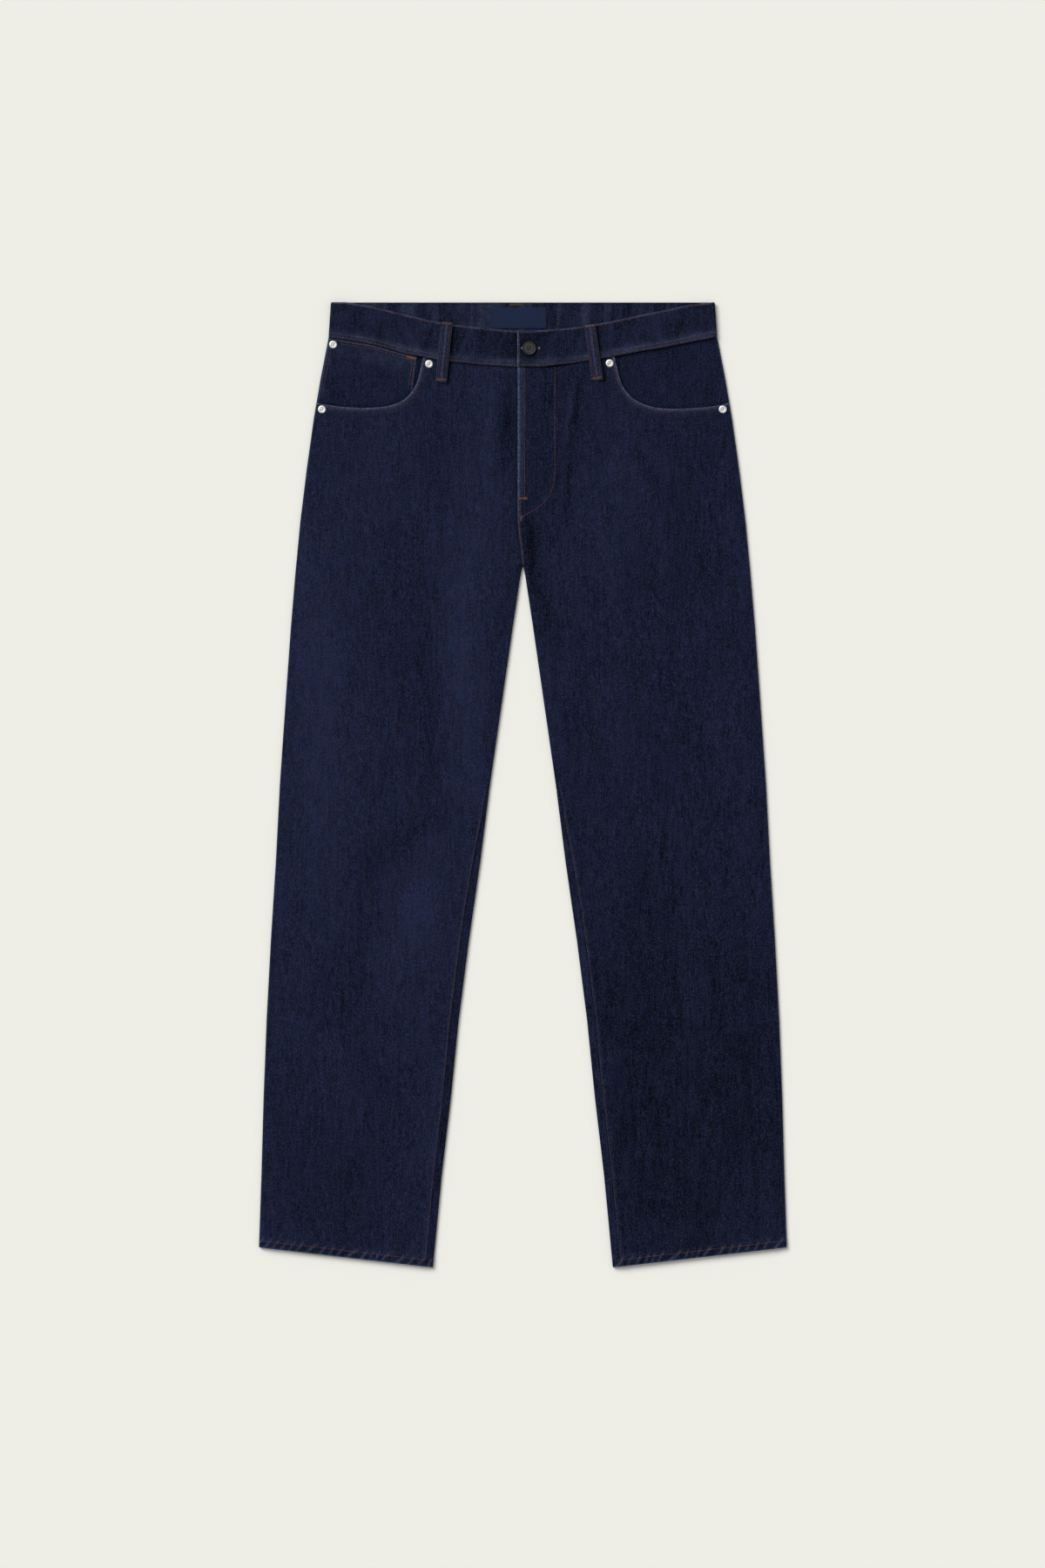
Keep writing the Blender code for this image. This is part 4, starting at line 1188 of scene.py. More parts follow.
@dataclass
class Legs(Maker):
    """The two front and two back leg panels."""

    spacing: float = 3.2
    columns: int = 86
    back_columns: int = 20
    depth: float = 222.0
    hem_step: float = 1.4
    mouth_row: float = 2.8
    mouth_second_row: float = 9.4
    hem_row: float = 7.8
    inseam_row: float = 1.7
    under_seam: tuple[float, ...] = (78, 55, 30, 5, -25, -50, -72, -90, -90)
    fly_curve: Places = (
        (36.9, 479.5), (36.6, 420.0), (36.6, 360.0), (33.4, 338.5), (27.4, 327.6), (16.2, 317.0),
        (5.6, 311.0), (-3.6, 305.5),
    )

    def leg_levels(self) -> tuple[Array, Array, Array, Array]:
        """Outer y, inner y, cloth and edge height of every row from the crotch to the hem."""
        cut = self.lay.cut
        length = cut.crotch - cut.hem_outer
        hem_top = length - cut.hem_depth
        plain = np.arange(self.spacing, hem_top - 3.0, self.spacing)
        to_end = [cut.hem_depth + self.hem_step, cut.hem_depth, 8.6, 7.2, 5.8, 4.4, 3.0, 1.6, 0.7, 0.0]
        walked = np.concatenate([[1.0, 2.2], plain, length - np.array(to_end)])
        share = walked / length
        in_hem = ease((walked - (hem_top - self.hem_step)) / self.hem_step)
        return (
            mix(cut.crotch, cut.hem_outer, share),
            mix(cut.crotch, cut.hem_inner, share),
            mix(cut.cloth, cut.hem_cloth, in_hem),
            mix(cut.edge_height, cut.hem_edge_height, in_hem),
        )

    def shares(self) -> Array:
        """Shares across a front panel, closer together by the inner edge."""
        near = np.array([0.0, 0.006, 0.012, 0.02, 0.03, 0.042, 0.056])
        rest = np.linspace(0.067, 1.0, self.columns - len(near))
        return (1.0 - np.concatenate([near, rest]))[::-1]

    def upper_plan(self, side: Side, shares: Array) -> tuple[Array, Array]:
        """Distance from the middle and y of a front panel's points above the crotch."""
        cut = self.lay.cut
        mouth = cut.mouth_path(side) * (int(side), 1)
        mouth[-1, 1] = cut.band_low(side * mouth[-1, 0]) - cut.seam_gap
        waist_x = np.linspace(mouth[-1, 0], side * cut.centre(side, 480.0), 60)[1:]
        top = np.concatenate([mouth, joined(waist_x, cut.band_low(side * waist_x) - cut.seam_gap)])
        walked = walked_along(top)
        top_x, top_y = (np.interp(shares * walked[-1], walked, top[:, axis]) for axis in (0, 1))
        plain = np.arange(8.0, self.depth, self.spacing)
        steps = np.concatenate([[0.0, 0.5, 1.1, 2.0, 3.2, 5.0], plain, [self.depth]])
        share_down = (steps / self.depth)[:, None]
        y = mix(top_y[None, :], cut.crotch, share_down)
        top_outer, top_centre = cut.outer(top_y), side * cut.centre(side, top_y)
        top_share = (top_outer - top_x) / (top_outer - top_centre)
        across = mix(top_share[None, :], shares[None, :], ease(share_down))
        return mix(cut.outer(y), side * cut.centre(side, y), across), y

    def front(self, side: Side) -> None:
        """Build a front panel with its pocket mouth cut out."""
        cut, lay = self.lay.cut, self.lay
        shares = self.shares()
        upper_x, upper_y = self.upper_plan(side, shares)
        oy, iy, cloth, edge = self.leg_levels()
        ox, ix = cut.outer(oy), cut.inner(iy)
        seam = cut.inseam_offset(iy)
        folded = seam <= edge / 2
        end = np.where(folded, ix + edge / 2, ix + seam + cut.seam_gap / 2)
        leg_x = mix(ox[:, None], end[:, None], shares[None, :])
        leg_y = mix(oy[:, None], iy[:, None], (ox[:, None] - leg_x) / (ox - ix)[:, None])
        start = len(upper_x)
        x, y = side * np.concatenate([upper_x, leg_x]), np.concatenate([upper_y, leg_y])
        cloth = np.concatenate([np.full(start, cut.cloth), cloth])
        edge = np.concatenate([np.full(start, cut.edge_height), edge])
        rope = lay.rope_height * lay.hem_wave(side, x, y)
        z = lay.front(side, x, y) + (edge - cut.edge_height)[:, None] + rope * (cut.crotch > y)
        outer = joined(x, y, z)[:, 1:]
        flats = (outer, outer - joined(0.0, 0.0, cloth[:, None]))
        heads = arc(side, cut.outer(y[:, 0]), y[:, 0], 1, EDGE_TO_TOP, cloth, edge)
        turns = arc(side, ix, iy, -1, TOP_TO_EDGE, cloth[start:], edge[start:])
        pair = []
        for flat, head, turn in zip(flats, heads, turns):
            head[:, 0, 2] += cut.seam_gap / 2
            turn[:, -1, 2] += cut.seam_gap / 2
            tail = np.repeat(flat[:, -1:], len(TOP_TO_EDGE), axis=1)
            tail[:, :, 0] += side * np.array([0.08, 0.06, 0.04, 0.02, 0.0])
            tail[start:][folded] = turn[folded]
            pair.append(np.concatenate([head, flat[:, :-1], tail], axis=1))
        masks = self.front_masks(side, pair[0])
        make_sheet(
            "denim_front_" + side.word, "front_panel_" + side.word, *pair,
            self.wardrobe["denim_leg"], "denim", True, masks, ["floor"],
        )

    def front_masks(self, side: Side, points: Array) -> dict[str, Array]:
        """Where the front is faded or rubbed pale, and where shade is painted: beside the inseam, under the
        band, in the hem's roping, beside the loops and the fly.
        """
        cut, lay = self.lay.cut, self.lay
        x, y = points[:, :, 0], points[:, :, 1]
        away, _ = beside(x, y, cut.mouth_path(side))
        rub = 0.74 + 0.26 * uneven(x, y, 9.0, 14.0)
        wear = 0.80 * rub * falloff(away, 0.5, 1.3) + 0.12 * falloff(away, 0.0, 9.0)
        hem, _ = beside(x, y, cut.hem_line(side))
        rope = lay.hem_wave(side, x, y)
        ticks = np.clip(rope, 0.0, 1.0) ** 3
        wear += falloff(hem, 0.4, 1.2) * 0.28 + ticks * 0.32
        outer_edge = cut.outer(y) - np.abs(x)
        wear += 0.14 * falloff(outer_edge, 0.0, 2.2)
        inner_edge = np.where(y < cut.crotch, np.abs(x) - cut.inner(y), 50.0)
        wear += 0.08 * falloff(inner_edge, 0.0, 2.0)
        seam = np.abs(inner_edge - cut.inseam_offset(y))
        outside = inner_edge - cut.inseam_offset(y)
        wear += np.where(y < 0, 0.10 * bell(outside - 3.2, 0.9), 0.0)
        # Painted shade beside the felled inseam and, below, under the band's lower edge and between the
        # hem's ropes.
        deep = np.where(y < 0, 0.7 * bell(seam, 0.9), 0.0)
        waist = cut.band_low(x) - y
        deep += 1.1 * bell(waist, 2.0) + 0.25 * ease((11.0 - hem) / 3.0) * (1.0 - ticks)
        # Painted shadow cast by the front loops.
        deep += lay.beside_loops(x, y)
        fade = lay.fade_and_shade(x, y)
        if side is Side.RIGHT:
            rim = x - cut.rise(y)
            wear += np.where(y > 300, 0.95 * rub * falloff(rim, 0.9, 1.5), 0.0)
            wear += np.where((y > 330) & (rim > 1), 0.12 * falloff(rim, 6.0, 2.0), 0.0)
            # Painted shade: the right leg is made darker, as it lies away from the light.
            fade -= 0.12
            wear += np.where(y < 304, 0.25 * bell(rim - 1.0, 1.2), 0.0)
        else:
            near = np.abs(x - cut.rise(y))
            # Painted shadow of the lapped fly on the left panel.
            deep += np.where(y > 250, 0.55 * bell(near, 2.5), 0.0)
            # Painted light: the left leg is made lighter, as it faces the light.
            fade += 0.10
        return {"wear": wear, "deep": deep, "fade": fade}

    def seat_row(self, side: Side, share: Array, down: float) -> tuple[Array, Array]:
        """One row of a back panel above the crotch, at a share of the way down to it."""
        cut, start = self.lay.cut, self.lay.cut.seam_gap / 2
        level = mix(cut.yoke_seam(cut.yoke_reach) - start, cut.crotch, down)
        wide = float(cut.outer(level))
        x = np.concatenate([start + np.arange(12) * 0.25, mix(start + 4.0, wide - 3.0, share)])
        y = mix(cut.yoke_seam(x) - start, cut.crotch, down)
        flat = joined(side * x, y, self.lay.under(side * x, y))
        turned = arc_row(side, wide, level, 1, FOOT_TO_EDGE, cut.cloth, cut.edge_height)
        return floor_row(flat, turned, cut.cloth)

    def leg_row(
        self, side: Side, share: Array, oy: float, iy: float, cloth: float, edge: float,
    ) -> tuple[Array, Array]:
        """One row of a back panel below the crotch, from the inseam round to the outer fold."""
        cut, lay = self.lay.cut, self.lay
        ox, ix, seam = cut.outer(oy), cut.inner(iy), cut.inseam_offset(iy)
        if seam <= edge / 2:
            head = arc_row(side, ix, iy, -1, np.linspace(0.0, -90.0, 12), cloth, edge)
        else:
            places = (seam - cut.seam_gap / 2, mix(seam, edge / 2, 0.5), edge / 2 + 0.3)
            x = ix + np.array(places)
            y = mix(iy, oy, (x - ix) / (ox - ix))
            z = lay.front(side, side * x, y) + edge - cut.edge_height
            flat = joined(side * x, y, z + lay.rope_height * lay.hem_wave(side, side * x, y))
            turned = arc_row(side, ix, iy, -1, self.under_seam, cloth, edge)
            for wall in turned:
                wall[-1, 0] += side * 0.2
            head = floor_row(flat, turned, -cloth)
        x = mix(ix + 5.5, ox - 4.0, share)
        y = mix(iy, oy, (x - ix) / (ox - ix))
        flat = joined(side * x, y, lay.under(side * x, y))
        turned = arc_row(side, ox, oy, 1, FOOT_TO_EDGE, cloth, edge)
        lower = floor_row(flat, turned, cloth)
        return np.concatenate([head[0], lower[0]]), np.concatenate([head[1], lower[1]])

    def back(self, side: Side) -> None:
        """Build a back panel, which comes round the inner fold to the inseam."""
        cut, lay = self.lay.cut, self.lay
        share = np.linspace(0.0, 1.0, self.back_columns)
        rows = [self.seat_row(side, share, down) for down in (0.0, *np.linspace(0.03, 1.0, 22))]
        rows += [self.leg_row(side, share, *levels) for levels in zip(*self.leg_levels())]
        outer, inner = walls(rows)
        for wall in (outer, inner):
            wall[:, -1, 2] -= cut.seam_gap / 2
        x, y = outer[:, :, 0], outer[:, :, 1]
        hem, _ = beside(x, y, cut.hem_line(side))
        rope = lay.hem_wave(side, x, y)
        seam_mark = np.abs(cut.yoke_seam(x) - y)
        middle = np.where(y > cut.crotch, np.abs(x), 50.0)
        wear = 0.5 * falloff(hem, 0.0, 1.6) + 0.3 * np.clip(rope, 0.0, 1.0)
        wear += 0.3 * falloff(seam_mark, 0.0, 2.0) + 0.3 * falloff(middle, 0.0, 2.0)
        # Painted shade between the hem's ropes.
        deep = -0.3 * np.clip(rope, -1.0, 0.0)
        masks = {"wear": wear, "deep": deep, "fade": lay.fade_and_shade(x + 400.0, y)}
        make_sheet(
            "denim_back_" + side.word, "back_panel_" + side.word, outer, inner,
            self.wardrobe["denim_leg"], "denim", False, masks, ["floor"],
        )

    def sew(self, side: Side) -> None:
        """Sew the rows on one leg: mouth, inseam and hem."""
        cut, sewing = self.lay.cut, self.sewing
        face = partial(self.lay.front, side)
        mouth = cut.mouth_path(side)
        mouth[-1, 1] = cut.band_low(mouth[-1, 0]) - 1.0
        sewing.run("mouths", moved_aside(mouth[2:-1], self.mouth_row * side), face)
        second = moved_aside(mouth[3:-1], self.mouth_second_row * side)
        sewing.run("mouths", second, face, Thread.NAVY, radius=0.62)
        hem = cut.hem_line(side) + (0.0, self.hem_row)
        hem_face = partial(self.lay.hem_front, side)
        sewing.run("hems", between(*hem, np.linspace(0.008, 0.992, 30)), hem_face)
        level = np.linspace(-30.0, -544.0, 90)
        inseam = side * (cut.inner(level) + cut.inseam_offset(level) + self.inseam_row)
        sewing.run("inseams", joined(inseam, level), face, Thread.TAN, radius=0.3)
        sewing.run("under_hems", between(*hem, np.linspace(0.012, 0.985, 30)), on_floor, down=True)

    def sew_fly(self) -> None:
        """Sew the fly's straight row, its curved row, the bar tacks and the rise seam."""
        sewing, face = self.sewing, partial(self.lay.front, Side.RIGHT)
        sewing.run("fly", np.asarray(((2.1, 478.0), (2.0, 400.0), (2.2, 328.0))), face)
        sewing.run("fly", rounded(self.fly_curve), face)
        sewing.bar("fly", (0.6, 328.2), (1.0, 0.05), 9.5, 2.6, face)
        sewing.run("fly", np.asarray(((-2.6, 326.0), (-2.2, 305.0))), face)
        sewing.bar("fly", (-1.6, 305.4), (0.25, 1.0), 6.5, 2.2, face)
        for offset, thread in ((1.3, Thread.COPPER), (3.4, Thread.NAVY)):
            y = np.linspace(303.0, 255.0, 16)
            sewing.run("fly", joined(self.lay.cut.rise(y) + offset, y), face, thread)

    def build(self) -> None:
        """Build and sew both legs."""
        for side in Side:
            self.front(side)
            self.back(side)
            self.sew(side)
        self.sew_fly()


@dataclass
class BackTop(Maker):
    """The yokes, back pockets and their sewing, on the side that lies on the floor."""

    seam_half: float = 0.15
    pocket_width: float = 136.0
    pocket_length: float = 140.0
    pocket: Places = (
        (0.27, 404.0), (0.83, 409.0), (0.79, 284.0), (0.55, 258.0), (0.30, 279.0),
    )

    def yoke(self, side: Side) -> None:
        """Build a yoke between the waist seam and its own seam."""
        cut, start = self.lay.cut, self.seam_half
        wide_top = float(cut.outer(cut.waist_low))
        x = np.concatenate([[start], np.linspace(3.0, wide_top - 4.0, 56)])
        rows = []
        for down in np.linspace(0.0, 1.0, 16):
            level = mix(cut.waist_low - 0.3, cut.yoke_seam(cut.yoke_reach) + start, down)
            wide = float(cut.outer(level))
            place = x * mix(1.0, (wide - 4.0) / (wide_top - 4.0), down)
            place[0] = start
            y = mix(cut.waist_low - 0.3, cut.yoke_seam(place) + start, down)
            flat = joined(side * place, y, self.lay.under(side * place, y))
            turned = arc_row(side, wide, level, 1, FOOT_TO_EDGE, cut.cloth, cut.edge_height)
            rows.append(floor_row(flat, turned, cut.cloth))
        outer, inner = walls(rows)
        for wall in (outer, inner):
            wall[:, -1, 2] -= start
        x, y = outer[:, :, 0], outer[:, :, 1]
        wear = 0.4 * falloff(np.abs(cut.yoke_seam(x) - y), 0.0, 2.0) + 0.3 * falloff(np.abs(x), 0.0, 2.0)
        masks = {"wear": wear, "fade": self.lay.fade_and_shade(x + 400.0, y) + 0.1}
        make_sheet(
            "denim_yoke_" + side.word, "yoke_" + side.word, outer, inner,
            self.wardrobe["denim_leg"], "denim", False, masks, ["floor"],
        )

    def pocket_corners(self, side: Side) -> Array:
        """The back pocket's corners."""
        return np.asarray([(side * share * self.lay.cut.outer(y), y) for share, y in self.pocket])

    def patch_pocket(self, side: Side) -> None:
        """Build a back pocket with a turned top and its two rows of stitches."""
        corners = self.pocket_corners(side)
        across = np.linspace(0.0, 1.0, 33)
        down = np.concatenate([[0.0, 0.01, 0.03, 0.08, 0.085], np.linspace(0.11, 1.0, 24)])
        top = between(corners[0], corners[1], across)
        low = [
            mix(corners[4], corners[3], share / 0.5) if share < 0.5
            else mix(corners[3], corners[2], share / 0.5 - 1.0)
            for share in across
        ]
        plan = between(top, np.stack(low), down)
        edge = inset_grid(across, down, self.pocket_width, self.pocket_length)
        x, y = plan[:, :, 0], plan[:, :, 1]
        wear = 0.8 * falloff(edge, 0.0, 1.8) + 0.2 * bell(edge - 5.0, 3.0)
        masks = {"wear": wear, "fade": self.lay.fade_and_shade(x + 700.0, y) + 0.15}
        make_sheet(
            "denim_back_pocket_" + side.word, "back_pocket_" + side.word,
            joined(x, y, 0.35 * falloff(edge, 0.0, 1.4)), joined(x, y, 1.2),
            self.wardrobe["denim_leg"], "denim", False, masks, ["floor"],
        )
        to_centre = unit(corners.mean(axis=0) - corners)
        for inset in (2.2, 7.6):
            path = (corners + to_centre * inset * 1.3)[[1, 2, 3, 4, 0]]
            self.sewing.run("under_pockets", path, on_floor, down=True)
        hem = np.stack([corners[0] + (side * 2.0, -12.0), corners[1] + (-side * 2.0, -12.0)])
        self.sewing.run("under_pockets", hem, on_floor, down=True)

    def sew(self) -> None:
        """Sew the yoke seams and the centre back seam, two rows each."""
        cut, lay = self.lay.cut, self.lay
        for side in Side:
            x = np.linspace(3.0, 228.0, 60)
            for offset in (-2.0, -7.5):
                path = joined(side * x, cut.yoke_seam(x) + offset)
                self.sewing.run("under_yokes", path, lay.under, down=True)
        for offset in (2.0, 7.5):
            path = joined(offset, np.linspace(436.0, 256.0, 40))
            self.sewing.run("under_yokes", path, lay.under, down=True)

    def build(self) -> None:
        """Build the hidden side's pieces."""
        for side in Side:
            self.yoke(side)
            self.patch_pocket(side)
        self.sew()


@dataclass
class FrontPockets(Maker):
    """The cloth in the two pocket mouths and the coin pocket on the left one."""

    inner_left: float = 106.0
    inner_right: float = 97.0
    tuck: float = 13.0
    coin_drop: float = 0.9
    under_band: float = 0.5
    facing_top: float = 223.0
    coin_length: float = 55.0
    coin_width: float = 95.0
    coin_hem: float = 12.0

    def mouth_level(self, side: Side, x: Array) -> Array:
        """Y of the mouth's edge at a distance from the middle."""
        path = self.lay.cut.mouth_path(side)[::-1]
        return np.interp(x, path[:, 0] * int(side), path[:, 1])

    @staticmethod
    def swell(x: Array, y: Array) -> Array:
        """The facing's small swells, sinking toward its tucked edge."""
        return uneven(x, y, 22.0, 31.0) * 0.28 + uneven(x, y, 9.0, 32.0) * 0.09

    def facing(self, side: Side) -> None:
        """Build one facing with its outer fold."""
        cut = self.lay.cut
        insets = np.concatenate([[4.0, 7.0], np.linspace(11.0, 112.0, 30)])
        mouth_y = cut.mouth_side_y + cut.seam_gap
        inner_end = self.inner_right if side is Side.RIGHT else self.inner_left
        share = insets / insets[-1]
        top_x, low_x = mix(self.facing_top, inner_end, share), mix(cut.outer(mouth_y), inner_end, share)
        top_y = cut.band_low(side * top_x) + self.under_band
        hidden = self.tuck * ease((insets - 16.0) / 18.0) - cut.seam_gap - 0.3
        low_y = np.minimum(self.mouth_level(side, low_x), 460.0) - hidden
        rows = []
        for down in np.linspace(0.0, 1.0, 26):
            level = float(mix(cut.waist_low + self.under_band, mouth_y, down))
            wide = float(cut.outer(level))
            x, y = mix(top_x, low_x, down), mix(top_y, low_y, down)
            free = ease((insets - 4.0) / 12.0) * math.sin(math.pi * min(max(down, 0.02), 0.98)) ** 0.5
            z = cut.edge_height + self.swell(side * x, y) * free * 0.6 - 0.15 * free
            flat = joined(side * x, y, z)
            turned = arc_row(side, wide, level, 1, EDGE_TO_TOP, cut.facing_cloth, cut.edge_height)
            rows.append((
                np.concatenate([turned[0], flat]),
                np.concatenate([turned[1], flat - (0, 0, cut.facing_cloth)]),
            ))
        outer, inner = walls(rows)
        for wall in (outer, inner):
            wall[:, 0, 2] += 0.15
        x, y = outer[:, :, 0], outer[:, :, 1]
        waist = cut.band_low(x) - y
        away, _ = beside(x, y, cut.mouth_path(side))
        corner = np.hypot(x - side * (inner_end + 10.0), y - 462.0)
        # Painted shade under the band, beside the mouth's edge and in the pocket's inner corner.
        deep = 0.95 * bell(waist, 2.2) + 0.6 * bell(away, 3.2)
        deep += 0.25 * bell(corner, 20.0)
        wear = 0.15 * falloff(cut.outer(y) - np.abs(x), 0.0, 2.5)
        fade = uneven(x, y, 18.0, 33.0) * 0.2 - 0.15
        make_sheet(
            "denim_facing_" + side.word, "pocket_facing_" + side.word, outer, inner,
            self.wardrobe["denim_facing"], "denim_pocket", True,
            {"wear": wear, "deep": deep, "fade": fade}, ["back_panel_" + side.word],
        )

    def coin(self) -> None:
        """Build the coin pocket and sew its double rows."""
        cut = self.lay.cut
        across = np.linspace(0.0, 1.0, 40)
        down = np.concatenate([[0.0, 0.012, 0.03, 0.05], np.linspace(0.08, 1.0, 22)])
        top_x = mix(-222.2, -121.8, across)
        top_y = cut.band_low(top_x) - self.coin_drop
        low_x = mix(0.7 - float(cut.outer(cut.mouth_side_y)), -128.6, across)
        hidden = (self.tuck - 3.0) * ease((across - 0.14) / 0.18) - cut.seam_gap - 0.3
        low_y = np.minimum(self.mouth_level(Side.LEFT, -low_x), 452.0) - hidden
        x = mix(top_x[None, :], low_x[None, :], down[:, None])
        y = mix(top_y[None, :], low_y[None, :], down[:, None])
        depth = down[:, None] * self.coin_length
        sides = np.minimum(across * self.coin_width, (1.0 - across) * self.coin_width)
        edge = np.minimum(depth, sides[None, :])
        base = cut.edge_height + cut.seam_gap + cut.facing_cloth
        z = base + self.swell(x, y) * 0.5 * ease(edge / 10.0)
        z += 0.35 * ease((self.coin_hem - depth) / 3.0) - 0.35 * falloff(edge, 0.0, 1.3)
        inset = np.clip(cut.outer(y) - np.abs(x), 0.4, 1.8)
        z = z - 1.8 + np.sqrt(1.8**2 - (1.8 - inset) ** 2)
        outer = joined(x, y, z)
        inner = outer - (0, 0, cut.facing_cloth)
        away, _ = beside(x, y, cut.mouth_path(Side.LEFT))
        wear = 0.35 * falloff(edge, 0.0, 1.5) + x * 0.0
        flecks = 0.5 + 0.5 * uneven(x, y, 7.0, 35.0)
        wear += 0.12 * flecks * bell(depth - 8.0, 6.0)
        # Painted shadow beside the mouth's edge.
        deep = 0.75 * bell(away, 3.2)
        fade = uneven(x, y, 18.0, 34.0) * 0.25
        make_sheet(
            "denim_coin_pocket", "coin_pocket", outer, inner,
            self.wardrobe["denim_facing"], "denim_pocket", True,
            {"wear": wear, "deep": deep, "fade": fade}, ["pocket_facing_left"],
        )

        def face(px: Array, py: Array, raised: float = 0.0) -> Array:
            """Height of the coin pocket's outer face, or of its thicker hem."""
            return px * 0.0 + base - 0.05 + raised

        row_x = np.linspace(-211.0, -123.6, 30)
        rows = ((1.7, Thread.COPPER), (4.3, Thread.COPPER), (7.2, Thread.NAVY), (10.8, Thread.NAVY))
        for inset, thread in rows:
            path = joined(row_x, cut.band_low(row_x) - self.coin_drop - inset)
            self.sewing.run("coin", path, partial(face, raised=0.1), thread)
        for inset in (2.2, 4.8):
            path = np.asarray(((-121.8 - inset, 485.0), (-126.2 - inset, 458.0)))
            self.sewing.run("coin", path, face)
        self.sewing.bar("coin", (-127.8, 489.9), (1.0, -0.25), 11.5, 2.3, partial(face, raised=0.2))
        y = np.linspace(500.0, 444.0, 20)
        for inset, thread in ((5.6, Thread.COPPER), (9.4, Thread.NAVY)):
            self.sewing.run("coin", joined(-cut.outer(y) + inset, y), face, thread)

    def build(self) -> None:
        """Build both facings and the coin pocket."""
        for side in Side:
            self.facing(side)
        self.coin()


@dataclass
class Band(Maker):
    """The waistband all round, and everything sewn on it."""

    cloth: float = 2.8
    front_z: float = 3.6
    overlap_z: float = 6.2
    top_half: float = 220.4
    low_half: float = 223.0
    end_x: float = -6.4
    under_end: float = 28.0
    button: tuple[float, float] = (7.3, 500.5)
    width: float = 40.0
    flat_width: float = 0.0415
    recess: float = 1.5
    ring_step: float = 1.5
    row_pitch: float = 2.9
    row_inset: float = 1.9
    turns: tuple[float, ...] = (78, 54, 27, 0, -27, -54, -78)
    shares: tuple[float, ...] = (
        0.0, 0.01, 0.03, 0.06, 0.11, 0.17, 0.24, 0.34, 0.45, 0.56, 0.67, 0.76, 0.83, 0.89, 0.94, 0.97,
        0.99, 1.0,
    )
    pulls: tuple[Fold, ...] = (
        Fold(((-61, 520), (-66, 508), (-73, 492)), 2.4, 0.75),
        Fold(((-66, 518), (-70, 506), (-77, 494)), 2.4, -0.7),
        Fold(((-72, 524), (-79, 502)), 2.6, -0.5), Fold(((-20, 518), (-26, 508), (-35, 494)), 2.4, 0.7),
        Fold(((-25, 514), (-33, 497)), 2.2, -0.7), Fold(((-44, 520), (-52, 500)), 3.4, -0.45),
        Fold(((-102, 526), (-113, 501)), 4.0, -0.55), Fold(((-130, 518), (-121, 496)), 3.4, 0.5),
        Fold(((-144, 530), (-138, 508)), 4.0, -0.4), Fold(((-190, 535), (-178, 511)), 4.2, -0.5),
        Fold(((-203, 540), (-208, 520)), 4.0, 0.35), Fold(((64, 518), (58, 496)), 3.4, -0.5),
        Fold(((104, 528), (98, 506)), 2.8, 0.5), Fold(((112, 528), (108, 506)), 3.4, -0.5),
        Fold(((150, 536), (158, 512)), 4.0, 0.45), Fold(((184, 542), (178, 520)), 4.0, -0.45),
        Fold(((38, 512), (30, 490)), 3.4, 0.45),
    )

    def base(self, x: Array, right: bool) -> Array:
        """Height of the front band's inner face."""
        x = np.asarray(x, float)
        if right:
            return self.front_z + (self.overlap_z - self.front_z) * ease((60.0 - x) / 28.0)
        return self.front_z - 0.5 * ease((x + 30.0) / 24.0)

    def relief(self, x: Array, share: Array) -> Array:
        """The band's seam ridge, swells and puckers on its outer face."""
        y = share * self.width
        swell = uneven(x, y, 26.0, 41.0) * 0.30 + uneven(x, y, 9.0, 42.0) * 0.10
        ridge = 0.28 * ease((share - 0.72) / 0.08)
        tight = bell(share - 0.95, 0.10) + 0.8 * bell(share - 0.05, 0.10)
        dents = 0.22 * np.sin(2.0 * np.pi * x / 8.3 + 2.6 * uneven(x, y * 0.0, 20.0, 43.0)) * tight
        real_y = mix(self.lay.cut.band_top(x), self.lay.cut.band_low(x), share)
        return swell + ridge + dents + self.pulled(x, real_y)

    def pulled(self, x: Array, y: Array) -> Array:
        """Height of the short slanting creases of the front band."""
        total = np.zeros(np.shape(x))
        for pull in self.pulls:
            away, _ = beside(x, y, np.asarray(pull.path, float))
            total += pull.rise * bell(away, pull.width)
        return total

    def inside(self, x: Array, share: Array) -> Array:
        """The uneven upright puckers on the inside of the back band."""
        ridge = 1.0 - 2.6 * np.abs(uneven(x + 3.0 * share, share * 0.4, 9.0, 44.0))
        low = uneven(x, share * 9.0, 14.0, 48.0)
        return 0.50 * np.clip(ridge, 0.0, 1.0) + 0.22 * low + 0.12 * uneven(x, share * 12.0, 5.0, 45.0)

    def rim(self, share: Array) -> Array:
        """How full the band's thickness is between its edges."""
        near = np.clip(np.minimum(share, 1.0 - share) * self.width / 1.5, 0.0, 1.0)
        return 0.45 + 0.55 * np.sqrt(np.clip(1.0 - (1.0 - near) ** 2, 0.0, 1.0))

    def front_top(self, right: bool) -> HeightAt:
        """Height of the front band's outer face as a function of place."""

        def face(x: Array, y: Array) -> Array:
            """Height of the outer face."""
            top, low = self.lay.cut.band_top(x), self.lay.cut.band_low(x)
            share = np.clip((top - y) / (top - low), 0.0, 1.0)
            wall = self.cloth * mix(0.5, 1.0, self.rim(share))
            return self.base(x, right) + wall + self.relief(x, share) - 0.1

        return face

    @staticmethod
    def ring(x: Array, y: Array, outer: Array, inner: Array) -> Array:
        """One ring of points from the places and heights of its outer and inner side."""
        return np.concatenate([joined(x, y, outer), joined(x, y, inner)[::-1]])

    def freedom(self, x: float) -> float:
        """How free the band's faces are to swell, down to 0 by the side folds."""
        return float(ease((self.low_half - abs(x) - 3.0) / 12.0))

    def section(self, x: float, right: bool) -> Array:
        """One ring of points of the front band."""
        cut, share = self.lay.cut, np.asarray(self.shares)
        place = mix(x * self.top_half / self.low_half, x, share)
        y = mix(float(cut.band_top(x)), float(cut.band_low(x)), share)
        half = self.cloth / 2 * self.rim(share)
        middle = self.base(np.array([x]), right)[0] + self.cloth / 2
        outer = middle + half + self.relief(place, share) * self.freedom(x)
        return self.ring(place, y, outer, middle - half)

